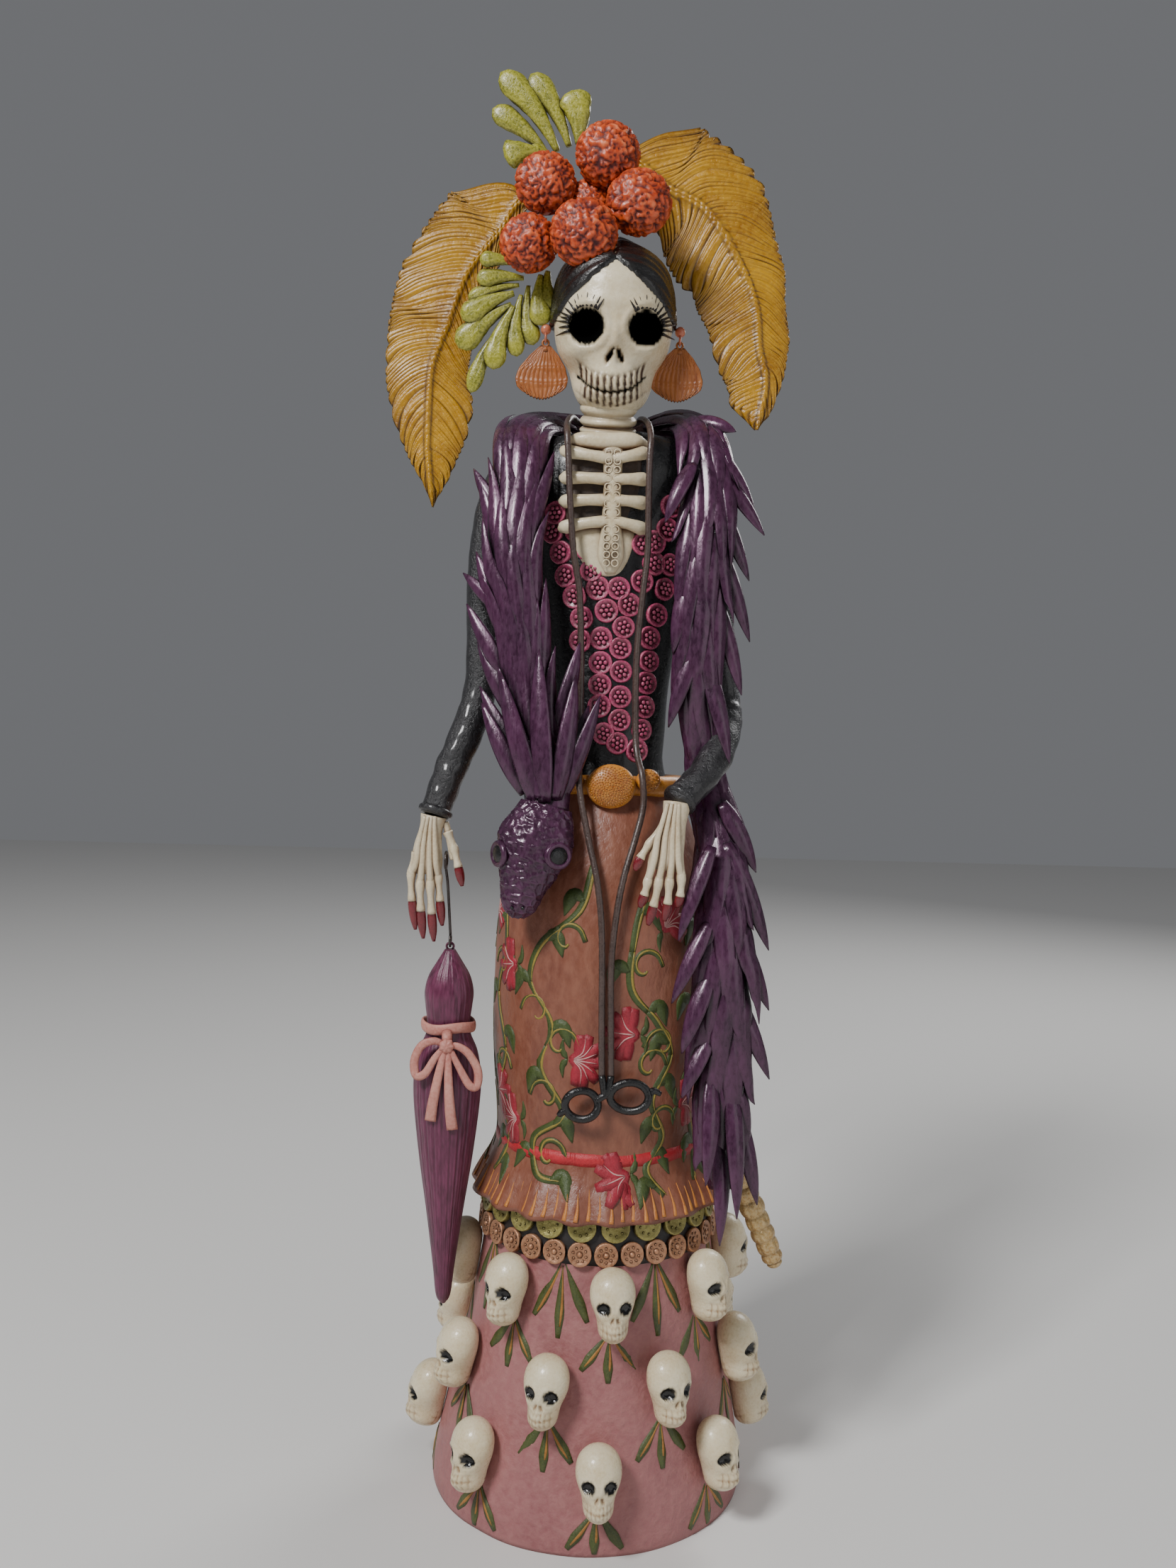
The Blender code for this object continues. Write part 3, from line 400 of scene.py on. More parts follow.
SKULL_ROWS = (("top", 94.3, 6.0), ("middle", 60.6, -17.0), ("bottom", 30.0, 3.0))
green_bm = bmesh.new()
ochre_bm = bmesh.new()
DROP = (0.14, 0.42, 1.0, 0.45)
for row_number, (row, height, first) in enumerate(SKULL_ROWS):
    for number in range(8):
        sprigs = [(first + 45 * number, height - 12.6, 1.0)]
        if row == "top":
            sprigs.append((first + 22.5 + 45 * number, height + 13.0, 1.55))
        for order, (middle, top, grow) in enumerate(sprigs):
            degrees = 180 / math.pi / skirt_radius(top - 8)
            low = max(top - 18.5 * grow, 1.6)
            for side in (-1, 1):
                side_low = max(top - 14.0 * grow, 2.6)
                brush(green_bm, on_skirt, [(middle + side * 0.9 * degrees, top),
                                           (middle + side * 5.2 * degrees, (top * 1.1 + side_low * 0.9) / 2),
                                           (middle + side * 10.8 * degrees, side_low)], 5.0, 0.3, DROP, 12)
                if (number + order + row_number + side) % 3:
                    brush(ochre_bm, on_skirt, [(middle + side * 0.6 * degrees, top - 1),
                                               (middle + side * 4.4 * degrees, (top * 1.1 + side_low * 0.9) / 2),
                                               (middle + side * 9.4 * degrees, side_low + 1.6)], 1.8, 0.42, DROP)
            brush(green_bm, on_skirt, [(middle, top - 1), (middle - 0.3 * degrees, (top + low) / 2), (middle, low)],
                  4.8, 0.34, DROP, 12)
            brush(ochre_bm, on_skirt, [(middle, top - 1.5), (middle + 0.5 * degrees, (top + low) / 2),
                                       (middle + 0.4 * degrees, low + 4.5)], 1.5, 0.5, DROP)
sprig_green = painted("sprig_green", (0.062, 0.082, 0.022), (0.035, 0.05, 0.014), (0.16, 0.17, 0.045), 0.4,
                      scale=160)
sprig_ochre = painted("sprig_ochre", (0.40, 0.17, 0.03), (0.26, 0.10, 0.02), (0.55, 0.30, 0.08), 0.4,
                      scale=160)
finish_piece("green_sprigs", green_bm, sprig_green)
finish_piece("ochre_sprigs", ochre_bm, sprig_ochre)

# Girdle: a black band with two rows of pressed clay coins glued round the top of the skirt. The
# lower coins are copper coloured, and the upper ones are dull gold with a cross on each.


def stamp(bm, mesh, matrix):
    """Adds a copy of the mesh to the bmesh, moved by the matrix."""
    start = len(bm.verts)
    bm.from_mesh(mesh)
    bm.verts.ensure_lookup_table()
    bmesh.ops.transform(bm, matrix=matrix, verts=bm.verts[start:])


def mesh_from(bm, name):
    mesh = bpy.data.meshes.new(name)
    bm.to_mesh(mesh)
    bm.free()
    return mesh


def coin(radius, thick, cross):
    """A pressed disc with a raised rim, and a raised cross or boss in the middle."""
    bm = bmesh.new()
    bmesh.ops.create_cone(bm, cap_ends=True, segments=20, radius1=radius, radius2=radius, depth=thick)
    rim = [e for e in bm.edges if all(v.co.z > 0 for v in e.verts) and len(e.link_faces) == 2]
    bmesh.ops.bevel(bm, geom=rim, offset=0.5, segments=2, affect="EDGES", profile=0.5, material=-1)
    top = max(bm.faces, key=lambda f: f.calc_center_median().z)
    bmesh.ops.inset_individual(bm, faces=[top], thickness=radius * 0.16)
    bmesh.ops.translate(bm, vec=(0, 0, -0.5), verts=top.verts)
    if cross:
        for turn in (0.785, 2.356):
            reach = Vector((math.cos(turn), math.sin(turn), 0)) * radius * 0.6
            sweep(bm, through([(*(-reach), 0.4, 0.5), (0, 0, 0.1, 0.9, 0.9), (*reach, 0.4, 0.5)], 7),
                  6, facing=(0, 0, 1))
    for turn in np.linspace(0, 2 * math.pi, 9)[:8]:
        ball = bmesh.ops.create_icosphere(bm, subdivisions=1, radius=0.55)["verts"]
        bmesh.ops.translate(bm, vec=(radius * 0.55 * math.cos(turn), radius * 0.55 * math.sin(turn),
                                     thick / 2 - 0.5), verts=ball)
    if not cross:
        ball = bmesh.ops.create_icosphere(bm, subdivisions=2, radius=1.3)["verts"]
        bmesh.ops.translate(bm, vec=(0, 0, thick / 2 - 0.8), verts=ball)
    return mesh_from(bm, "coin")


band_bm = turned([(skirt_radius(z) + 0.3 + 1.1 * math.sin(math.pi * (z - 107.2) / 21.6), z)
                  for z in np.linspace(107.2, 128.8, 9)]
                 + [(skirt_radius(z) - 0.3, z) for z in (128.8, 118, 107.2)], 96)
for vertex in band_bm.verts:
    vertex.co.x += axis_x(vertex.co.z)
gap_black = painted("gap_black", (0.02, 0.018, 0.018), (0.012, 0.01, 0.01), (0.05, 0.04, 0.04), 0.5)
finish_piece("girdle_band", band_bm, gap_black, replaces=["medallion_girdle"])
low_coin = coin(4.9, 2.4, False)
high_coin = coin(5.9, 2.6, True)
low_bm = bmesh.new()
high_bm = bmesh.new()
for number in range(30):
    stamp(low_bm, low_coin, on_skirt(2 * math.pi * (number + 0.3) / 30, 112.0, 1.9)
          @ Matrix.Rotation(0.6 * noise.noise((number * 1.7, 0.3, 0)), 4, "Z"))
for number in range(23):
    stamp(high_bm, high_coin, on_skirt(2 * math.pi * (number + 0.5) / 23, 122.6, 2.2)
          @ Matrix.Rotation(0.5 * noise.noise((number * 1.7, 7.3, 0)), 4, "Z"))
coin_copper = painted("coin_copper", (0.56, 0.27, 0.15), (0.34, 0.14, 0.07), (0.78, 0.50, 0.30), 0.36,
                      scale=120, glaze_and_shade=(0.02, 0.009, 0.006), reach=0.0024, hollows=2.4, metallic=0.45)
coin_gold = painted("coin_gold", (0.38, 0.33, 0.09), (0.21, 0.18, 0.045), (0.62, 0.56, 0.24), 0.36,
                    scale=120, glaze_and_shade=(0.02, 0.016, 0.006), reach=0.0024, hollows=2.4, metallic=0.45)
finish_piece("copper_coins", low_bm, coin_copper)
finish_piece("gold_coins", high_bm, coin_gold)

# Small skulls: twenty-four modelled paste skulls glued to the skirt in three staggered rows. They
# are cream with a gloss varnish; their sockets are black, and brown glaze lies in the nose and mouth.
SKULL_PROFILE = through([(-14.2, 5.2, 14.2), (-11.0, 6.0, 14.8), (-5.0, 6.4, 15.0), (1.5, 8.6, 16.4),
                         (6.0, 9.1, 16.6), (11.0, 9.0, 16.0), (14.4, 8.6, 15.4)], 50)


def blob(x, y, cx, cy, rx, ry, power=2.0):
    """A soft round hill of height 1 at (cx, cy)."""
    return np.exp(-(((x - cx) / rx) ** 2 + ((y - cy) / ry) ** 2) ** (power / 2))


def edge_step(value, low, high):
    """0 below low, 1 above high and smooth between."""
    t = np.clip((value - low) / (high - low), 0, 1)
    return t * t * (3 - 2 * t)


def ball_points(bm, subdivisions):
    """A fine ball in the bmesh, and its points as an array."""
    bmesh.ops.create_icosphere(bm, subdivisions=subdivisions, radius=1)
    return np.array([v.co for v in bm.verts])


def set_points(bm, points):
    for vertex, point in zip(bm.verts, points):
        vertex.co = point


def give_mask(piece, name, values):
    layer = piece.data.attributes.new(name, "FLOAT", "POINT")
    layer.data.foreach_set("value", np.ascontiguousarray(values, np.float32))


skull_bm = bmesh.new()
ball = ball_points(skull_bm, 5)
turn = np.arctan2(ball[:, 0], ball[:, 2])
along = 0.1 + 14.3 * ball[:, 1]
close = np.sqrt(1 - np.abs(ball[:, 1]) ** np.where(ball[:, 1] > 0, 3.6, 6.0))
wide = np.interp(along, SKULL_PROFILE[:, 0], SKULL_PROFILE[:, 1])
deep = np.interp(along, SKULL_PROFILE[:, 0], SKULL_PROFILE[:, 2]) / 2
front = np.clip(np.cos(turn), 0, 1)
x = wide * np.sin(turn) * close
rise = np.zeros(len(ball))
black = np.zeros(len(ball))
for side in (-1, 1):
    socket = np.hypot((x - side * 4.3) / 2.75, (along - 0.5) / 2.7)
    rise -= 2.6 * (1 - edge_step(socket, 0.45, 1.0))
    rise += 0.7 * np.exp(-((socket - 1.22) / 0.22) ** 2)
    black = np.maximum(black, 1 - edge_step(socket, 0.92, 1.0))
    slit = blob(x + side * 0.42 * (along + 3.9), along, side * 1.0, -3.9, 0.55, 1.3, 4)
    rise -= 1.2 * slit
    rise += 1.2 * blob(x, along, side * 6.0, -3.6, 2.2, 1.4)
    rise -= 1.5 * blob(x, along, side * 6.2, -7.6, 1.8, 2.2)
rise += 0.9 * blob(x, along, 0, -1.6, 1.0, 3.0)
rise += 1.7 * blob(x, along, 0, -8.6, 4.8, 3.8)
mouth = along + 8.8 - 0.03 * x * x
teeth = edge_step(mouth, -3.0, -2.6) * (1 - edge_step(mouth, 2.4, 2.8)) * (1 - edge_step(np.abs(x), 4.4, 5.2))
slots = edge_step(np.cos(2 * math.pi * x / 1.5), 0.5, 0.95) * teeth
lips = np.exp(-(mouth / 0.36) ** 2) * (1 - edge_step(np.abs(x), 5.0, 5.8))
rows = np.exp(-((mouth - 2.7) / 0.34) ** 2) + np.exp(-((mouth + 2.9) / 0.34) ** 2)
rise -= 0.34 * slots + 0.6 * lips + 0.35 * rows * (np.abs(x) < 5.2)
glaze = np.clip(0.55 * slots + 0.7 * lips + 0.35 * rows * (np.abs(x) < 5.2)
                + 0.8 * blob(np.abs(x) + 0.42 * (along + 3.9), along, 1.0, -3.9, 0.5, 1.2, 4), 0, 1)
depth = deep + deep * np.cos(turn) * close + rise * front
points = np.column_stack([x, along, np.maximum(0.4, depth)])
set_points(skull_bm, points)
black[front < 0.2] = 0
small_skull = mesh_from(skull_bm, "small_skull")
skull_cream = painted("skull_cream", (0.79, 0.69, 0.47), (0.68, 0.55, 0.33), (0.88, 0.80, 0.61), 0.30,
                      coat=0.35, scale=95, glaze_and_shade=(0.20, 0.095, 0.035), reach=0.0028, hollows=1.25,
                      masks=(("glaze", (0.30, 0.155, 0.06), 0.4), ("black", (0.003, 0.003, 0.003), 0.1)))
for row, height, first in SKULL_ROWS:
    row_bm = bmesh.new()
    for number in range(8):
        lean = Matrix.Rotation(0.09 * noise.noise((number * 2.3, height, 0)), 4, "Z")
        stamp(row_bm, small_skull, on_skirt(math.radians(first + 45 * number), height) @ lean)
    made = finish_piece(f"skulls_{row}", row_bm, skull_cream,
                        replaces=[f"skull_{row}_{number + 1}" for number in range(8)])
    give_mask(made, "black", np.tile(black, 8))
    give_mask(made, "glaze", np.tile(glaze, 8))

# Overskirt: a tall papier-mache tube that swells, narrows and flares into a ruffled hem, painted
# terracotta. It stands on the girdle, and its painted flowers and vines go all the way round.
OVER_OUTER = through([(54.2, 125.2), (50.4, 132.8), (46.0, 141.6), (44.1, 153.0), (46.0, 178.0),
                      (46.8, 205.0), (46.2, 232.0), (43.2, 256.0), (38.0, 275.0), (30.4, 293.0),
                      (26.8, 298.6)], 46)
OVER_INNER = [(22.0, 296.2), (33.0, 281.0), (41.0, 255.0), (43.9, 232.0), (44.5, 205.0), (43.7, 178.0),
              (41.8, 153.0), (44.0, 141.0), (48.6, 131.8), (52.4, 125.0)]
over_bm = turned([(2.4, 298.6)] + [tuple(p) for p in OVER_OUTER[::-1]] + [tuple(p) for p in OVER_INNER[::-1]]
                 + [(2.4, 296.2)], 160, (2.5, 0))


def over_radius(angle, z):
    """The overskirt's outside, with its ruffled hem."""
    flare = float(edge_step(np.array(147.0 - z), 0, 22))
    ruffle = flare * 1.3 * math.sin(19 * angle + 1.2 * math.sin(3 * angle))
    return float(np.interp(z, OVER_OUTER[:, 1], OVER_OUTER[:, 0])) + ruffle


for vertex in over_bm.verts:
    from_axis = Vector((vertex.co.x - 2.5, vertex.co.y, 0))
    angle = math.atan2(from_axis.x, -from_axis.y)
    if from_axis.length > 20:
        flare = over_radius(angle, vertex.co.z) - over_radius(0, vertex.co.z)
        vertex.co += from_axis.normalized() * flare * 0.92
        vertex.co.z += 0.5 * float(edge_step(np.array(135.0 - vertex.co.z), 0, 10)) * math.cos(19 * angle)
uneven_surface(over_bm, 26, 0.35, 4.0)
terracotta = painted("terracotta", (0.25, 0.088, 0.050), (0.165, 0.050, 0.030), (0.36, 0.155, 0.095), 0.4,
                     scale=34, stretch=(1, 1, 0.55), glaze_and_shade=(0.07, 0.03, 0.02), reach=0.006, hollows=0.9,
                     bump=0.0003)
finish_piece("terracotta_overskirt", over_bm, terracotta, replaces=["overskirt"])

# The overskirt's painting: crimson flowers with pale streaks, olive leaves, green vines with
# yellow-green curls, a red line over the ruffle, and orange dashes on it.


def on_overskirt(angle, z):
    """The frame at a place on the overskirt's outside."""
    low, high = over_radius(angle, z - 2), over_radius(angle, z + 2)
    lean = math.atan2(low - high, 4)
    out = Vector((math.sin(angle), -math.cos(angle), 0))
    across = Vector((math.cos(angle), math.sin(angle), 0))
    normal = out * math.cos(lean) + Vector((0, 0, math.sin(lean)))
    up = Vector((0, 0, math.cos(lean))) - out * math.sin(lean)
    root = Vector((2.5, 0, z)) + out * over_radius(angle, z)
    return Matrix.Translation(root) @ Matrix((across, up, normal)).transposed().to_4x4()


paint_bms = {name: bmesh.new() for name in ("crimson", "leaf", "curl", "streak", "orange", "red_line")}
MM_TO_DEGREES = 180 / math.pi / 46.0
BLOOMS = ((-50, 224, 3.3), (-17, 189, -0.1), (18, 199, 3.0), (-48, 160, 3.25), (15, 143, 3.5), (30, 240, 0.9),
          (44, 168, 0.2))
vines = [[(-8, 266), (-14, 248), (-34, 234), (-40, 218), (-27, 202), (-33, 184), (-20, 166), (-38, 154), (-34, 141),
          (-19, 139)],
         [(24, 262), (15, 240), (13, 218), (27, 204), (36, 190), (26, 172), (34, 156), (24, 144), (32, 134)],
         [(52, 250), (58, 230), (50, 210), (60, 188), (52, 170), (60, 150), (54, 136)]]
CURLS = ((-20, 236, 1), (-36, 206, -1), (-22, 194, 1), (-30, 172, -1), (-28, 148, 1), (20, 226, 1), (30, 194, -1),
         (24, 186, 1), (32, 162, 1), (55, 222, -1), (56, 180, 1))
for third in range(3):
    turned_by = 120 * third
    for number, vine in enumerate(vines):
        run = through([(a + turned_by, z) for a, z in vine], 73)
        for start in range(0, 72, 12):
            brush(paint_bms["leaf"], on_overskirt, run[start:start + 13:2], 3.7, 0.22, (0.8, 1, 1, 0.8), 13)
            brush(paint_bms["curl"], on_overskirt, run[start:start + 13:2] + np.array((1.2, 0)), 1.5, 0.34,
                  (0.5, 1, 0.8, 0.2), 13)
        for k in range(6, 70, 9):
            (a, z), side = run[k], 1 if (k + number) % 2 else -1
            brush(paint_bms["leaf"], on_overskirt, [(a, z), (a + side * 6.5, z + 2.0), (a + side * 10.5, z - 6.5)],
                  7.0, 0.3, (0.2, 0.8, 0.95, 0.08), 13)
    for angle, z, side in CURLS:
        spiral = [(angle + turned_by + side * (9 - 7.5 * t) * math.cos(5.2 * t) * 1.1,
                   z + (8.4 - 6.6 * t) * math.sin(5.2 * t)) for t in np.linspace(0, 1, 9)]
        brush(paint_bms["leaf"], on_overskirt, spiral, 2.7, 0.24, (0.9, 1, 0.8, 0.5), 21)
        brush(paint_bms["curl"], on_overskirt, [(a + 0.5, z + 0.3) for a, z in spiral], 1.1, 0.36,
              (0.4, 0.9, 1, 0.9), 21)
    for number, (angle, z, way) in enumerate(BLOOMS):
        middle = angle + turned_by + (4 * number % 7 if third else 0)
        for petal in range(-3, 4):
            reach = [(middle + math.cos(way + 0.30 * petal * d / 8) * d * MM_TO_DEGREES,
                      z + math.sin(way + 0.30 * petal * d / 8) * d) for d in (0.4, 5.0, 14.6 - 0.4 * petal * petal)]
            brush(paint_bms["crimson"], on_overskirt, reach, 6.6, 0.36, (0.3, 0.7, 1.05, 0.6), 9)
            if petal % 2 == 0 or number % 2:
                reach = [(middle + math.cos(way + 0.24 * petal * d / 8) * d * MM_TO_DEGREES,
                          z + math.sin(way + 0.24 * petal * d / 8) * d) for d in (2.2, 6.5, 11.4)]
                brush(paint_bms["streak"], on_overskirt, reach, 0.8, 0.62, (0.5, 1, 0.7, 0.1), 7)
        for side in (-1, 1):
            brush(paint_bms["leaf"], on_overskirt,
                  [(middle - math.cos(way) * 0.8, z), (middle - math.cos(way) * 3.4, z + side * 3.4),
                   (middle - math.cos(way) * 3.0, z + side * 8.0)], 3.2, 0.34, (0.3, 1, 0.7, 0.1))
for k in range(24):
    brush(paint_bms["red_line"], on_overskirt, [(15 * k - 1, 148.2), (15 * k + 8, 148.0), (15 * k + 17, 148.2)],
          6.0, 0.30, (0.9, 1, 1, 0.9))
for k in range(72):
    middle = 5 * k
    brush(paint_bms["orange"], on_overskirt, [(middle, 126.4), (middle + 0.4, 130.5), (middle, 135.5 + k % 3)], 2.3,
          0.3, (0.9, 0.8, 0.35, 0.06))
PAINTING = {"crimson": ((0.36, 0.016, 0.035), (0.22, 0.01, 0.02), (0.50, 0.06, 0.08)),
            "leaf": ((0.050, 0.078, 0.018), (0.03, 0.05, 0.012), (0.12, 0.15, 0.035)),
            "curl": ((0.33, 0.22, 0.035), (0.17, 0.15, 0.03), (0.50, 0.36, 0.08)),
            "streak": ((0.66, 0.36, 0.33), (0.5, 0.2, 0.2), (0.8, 0.6, 0.55)),
            "orange": ((0.60, 0.22, 0.035), (0.45, 0.13, 0.03), (0.70, 0.36, 0.10)),
            "red_line": ((0.50, 0.018, 0.03), (0.36, 0.012, 0.02), (0.62, 0.06, 0.06))}
for name, bm in paint_bms.items():
    brushed = painted(f"{name}_strokes", *PAINTING[name], 0.42, scale=170, glaze_and_shade=(0.03, 0.02, 0.012),
                      reach=0.0015, hollows=0.8)
    finish_piece(f"painted_{name}", bm, brushed)

# Bodice: the papier-mache torso, gloss black, with two shoulders that the sleeves join. Pink
# rosettes, each of petals round a bead, are modelled on its front on both sides of the cords.
BODICE_ROWS = through([(1.5, 0, 299.6, 26.0, 21.0), (1.5, 0, 307, 24.4, 19.4), (1.5, 0, 315, 24.3, 18.8),
                       (1.5, 0, 348, 26.8, 18.3), (1.5, 0, 400, 34.3, 19.3), (1.5, 0, 420, 36.8, 18.8),
                       (1.5, 0, 435, 35.6, 16.8), (1.5, 0, 443, 28.0, 13.6), (1.5, 0, 446.4, 16.0, 9.0)], 40)
bodice_bm = sweep(bmesh.new(), BODICE_ROWS, 72)
uneven_surface(bodice_bm, 16, 0.35, 9.0)
gloss_black = painted("gloss_black", (0.006, 0.0058, 0.0065), (0.003, 0.003, 0.0035), (0.02, 0.019, 0.02), 0.28,
                      coat=0.25, scale=50, bump=0.0003, speckle=0.2)
finish_piece("black_bodice", bodice_bm, gloss_black, replaces=["bodice"])
rosette_bm = bmesh.new()
bmesh.ops.create_cone(rosette_bm, cap_ends=True, segments=24, radius1=5.2, radius2=4.9, depth=1.6)
rim = [e for e in rosette_bm.edges if all(v.co.z > 0 for v in e.verts) and len(e.link_faces) == 2]
bmesh.ops.bevel(rosette_bm, geom=rim, offset=0.5, segments=2, affect="EDGES", profile=0.5, material=-1)
top = max(rosette_bm.faces, key=lambda f: f.calc_center_median().z)
bmesh.ops.inset_individual(rosette_bm, faces=[top], thickness=0.75)
bmesh.ops.translate(rosette_bm, vec=(0, 0, -0.6), verts=top.verts)
for petal in range(7):
    way = 2 * math.pi * petal / 6
    lobe = bmesh.ops.create_icosphere(rosette_bm, subdivisions=2, radius=1)["verts"]
    far = 2.05 * (petal < 6)
    bmesh.ops.scale(rosette_bm, vec=(1.05, 0.98, 0.85), verts=lobe)
    bmesh.ops.translate(rosette_bm, vec=(far * math.cos(way), far * math.sin(way), 0.55), verts=lobe)
rosette_mesh = mesh_from(rosette_bm, "rosette")
ROSETTES = ((-26, 414), (-27, 406), (-23.5, 397), (-21, 387), (-17, 406), (-12, 398), (-10, 389), (-17, 378),
            (-7, 381.5), (2, 381.5), (12, 385), (17, 402), (22.5, 408), (12, 401), (17, 393), (24, 393),
            (22, 382.5), (-3, 372), (6.7, 374.7), (19, 371), (-13.7, 368.7), (-5, 360), (4.5, 365), (16, 361),
            (3.4, 356), (-5, 349.5), (3.8, 346), (16, 351), (-5, 340), (3.8, 335), (15, 341.5), (-5, 331),
            (3.7, 325), (14.5, 331), (13.6, 321), (3, 315), (-3, 319), (11.6, 312), (24, 418), (-14, 359))
rosettes_bm = bmesh.new()
for number, (x0, z0) in enumerate(ROSETTES):
    x1, z1 = -4.6 + (x0 + 7.6) * 0.96, 316.6 + (z0 - 316.6) * 0.96
    wide = np.interp(z1, BODICE_ROWS[:, 2], BODICE_ROWS[:, 3])
    deep = np.interp(z1, BODICE_ROWS[:, 2], BODICE_ROWS[:, 4])
    share = max(-0.96, min(0.96, (x1 - 1.5) / wide))
    out = Vector((share / wide, -math.sqrt(1 - share * share) / deep, 0)).normalized()
    spot = Vector((x1, -deep * math.sqrt(1 - share * share), z1)) + out * 0.2
    grow = 0.99 + 0.10 * noise.noise((number * 3.1, 0, 0))
    stamp(rosettes_bm, rosette_mesh, Matrix.Translation(spot) @ out.to_track_quat("Z", "Y").to_matrix().to_4x4()
          @ Matrix.Rotation(number * 1.3, 4, "Z") @ Matrix.Scale(grow, 4))
rosette_pink = painted("rosette_pink", (0.50, 0.040, 0.15), (0.30, 0.020, 0.075), (0.80, 0.27, 0.36), 0.27,
                       coat=0.25, scale=130, glaze_and_shade=(0.035, 0.004, 0.01), reach=0.0022, hollows=2.0, speckle=0.45)
finish_piece("pink_rosettes", rosettes_bm, rosette_pink)

# Neck and ribs: a stack of four neck bones and a rib cage of paste, laid on the black bodice and
# painted bone, with brown glaze and painted shade darkening its hollows. The breastbone carries
# two rows of rings.
neck_bm = bmesh.new()
NECK_PATH = through([(-0.5, 1.0, 419), (-1.0, -0.5, 427), (-1.4, -3.0, 435.5), (-1.4, -5.8, 443),
                     (-1.3, -8.2, 450.0), (-1.2, -12.0, 461.0)], 100)
neck_rows = []
for k, spot in enumerate(NECK_PATH):
    share = k / (len(NECK_PATH) - 1)
    stack = abs(math.sin(math.pi * (share * 10.5 + 0.15)))
    neck_rows.append((*spot, 9.6 + 2.4 * stack ** 0.6, 9.0 + 2.4 * stack ** 0.6))
sweep(neck_bm, neck_rows, 40)
for z, drop in ((431.4, -4.0), (423.0, -1.0), (414.6, 0.6), (406.0, 3.0)):
    for end in (-17.8, 13.4):
        sweep(neck_bm, through([(0.9, -21.4, z, 2.9, 2.4), ((end + 0.9) / 2, -22.0, z - drop * 0.3, 2.3, 2.2),
                                (end, -19.4, z - drop * 0.8, 2.9, 2.4),
                                (end * 1.05, -17.2, z - drop * 1.1, 1.9, 1.6)], 18), 16)
sweep(neck_bm, through([(0.6, -19.4, 436.0, 5.0, 3.0), (0.9, -20.6, 428, 3.9, 2.9), (0.9, -21.0, 416, 3.7, 2.9),
                        (0.9, -21.0, 404, 4.2, 2.9), (0.9, -20.2, 392, 5.4, 2.6), (0.9, -19.2, 385.0, 2.2, 1.8)], 34),
      24)
sweep(neck_bm, through([(-2.2, -17.2, 404.4, 14.4, 3.2), (-2.0, -17.4, 400, 13.4, 3.6), (-0.8, -17.4, 393, 11.2, 3.4),
                        (0.4, -17.2, 386, 7.0, 2.8), (0.6, -16.8, 384.0, 3.0, 1.6)], 18), 28)
sweep(neck_bm, through([(-18.4, -15.8, 438.6, 1.6, 1.6), (-12, -19.6, 439.2, 3.4, 2.6), (-1, -20.2, 438.6, 3.8, 3.0),
                        (9, -19.6, 439.2, 3.4, 2.6), (14.6, -15.8, 438.6, 1.6, 1.6)], 26), 18, facing=(0, -1, 0))
for column in (-1, 1):
    for k in range(14):
        z0 = 433.5 - 3.45 * k
        ring = [(0.9 + column * 1.75 + 1.35 * math.cos(a), -23.6 - 0.1 * math.sin(a) + 0.045 * max(0, k - 8),
                 z0 + 1.35 * math.sin(a), 0.34, 0.34) for a in np.linspace(0, 2 * math.pi, 13)[:12]]
        sweep(neck_bm, ring, 6, closed=True)
bmesh.ops.translate(neck_bm, vec=(0, -0.2, 0), verts=neck_bm.verts)
# A dark ground behind the ribs: it stands for the black bodice between them and for painted shade in those gaps.
panel_rows = [(-2.6, -17.0, 436, 15.2, 2.6), (-2.6, -17.2, 420, 15.4, 2.6), (-2.6, -17.2, 404, 14.6, 2.6),
              (-1.0, -16.8, 393, 9.0, 2.0)]
rib_gap_dark_and_shade = painted("rib_shadow", (0.05, 0.03, 0.02), (0.02, 0.012, 0.01), (0.12, 0.08, 0.05), 0.5)
panel_bm = sweep(bmesh.new(), through(panel_rows, 18), 28)
finish_piece("rib_ground", panel_bm, rib_gap_dark_and_shade)
aged_bone = painted("aged_bone", (0.72, 0.62, 0.42), (0.58, 0.46, 0.27), (0.84, 0.76, 0.58), 0.36,
                    coat=0.2, scale=70, glaze_and_shade=(0.15, 0.07, 0.028), reach=0.004, hollows=1.5)
finish_piece("neck_and_ribs", neck_bm, aged_bone, replaces=["ribs_and_neck"])

# Head: a modelled paste skull on a papier-mache ball, varnished bone with gloss black sockets. Its
# teeth are cut in, and thin black lashes are painted round the tops of the sockets.
HEAD_CENTRE = Vector((-0.25, -9.0, 485.5))
HEAD_UP = Vector((0, -math.sin(math.radians(14)), math.cos(math.radians(14))))
HEAD_FRONT = Vector((0, -math.cos(math.radians(14)), -math.sin(math.radians(14))))
HEAD_PROFILE = through([(-34.5, 8.0, 6.5, 12.0), (-29.5, 13.8, 12.0, 8.5), (-23.5, 16.2, 16.5, 6.0),
                        (-15.5, 18.2, 20.0, 3.0), (-7.0, 23.0, 23.5, 0.5), (2.0, 24.6, 25.5, 0.0),
                        (12.0, 24.4, 26.5, -1.0), (22.0, 22.2, 24.5, -1.5), (29.5, 17.4, 19.0, -2.0),
                        (35.3, 9.0, 10.0, -2.0), (37.5, 3.0, 3.0, -2.0)], 90)


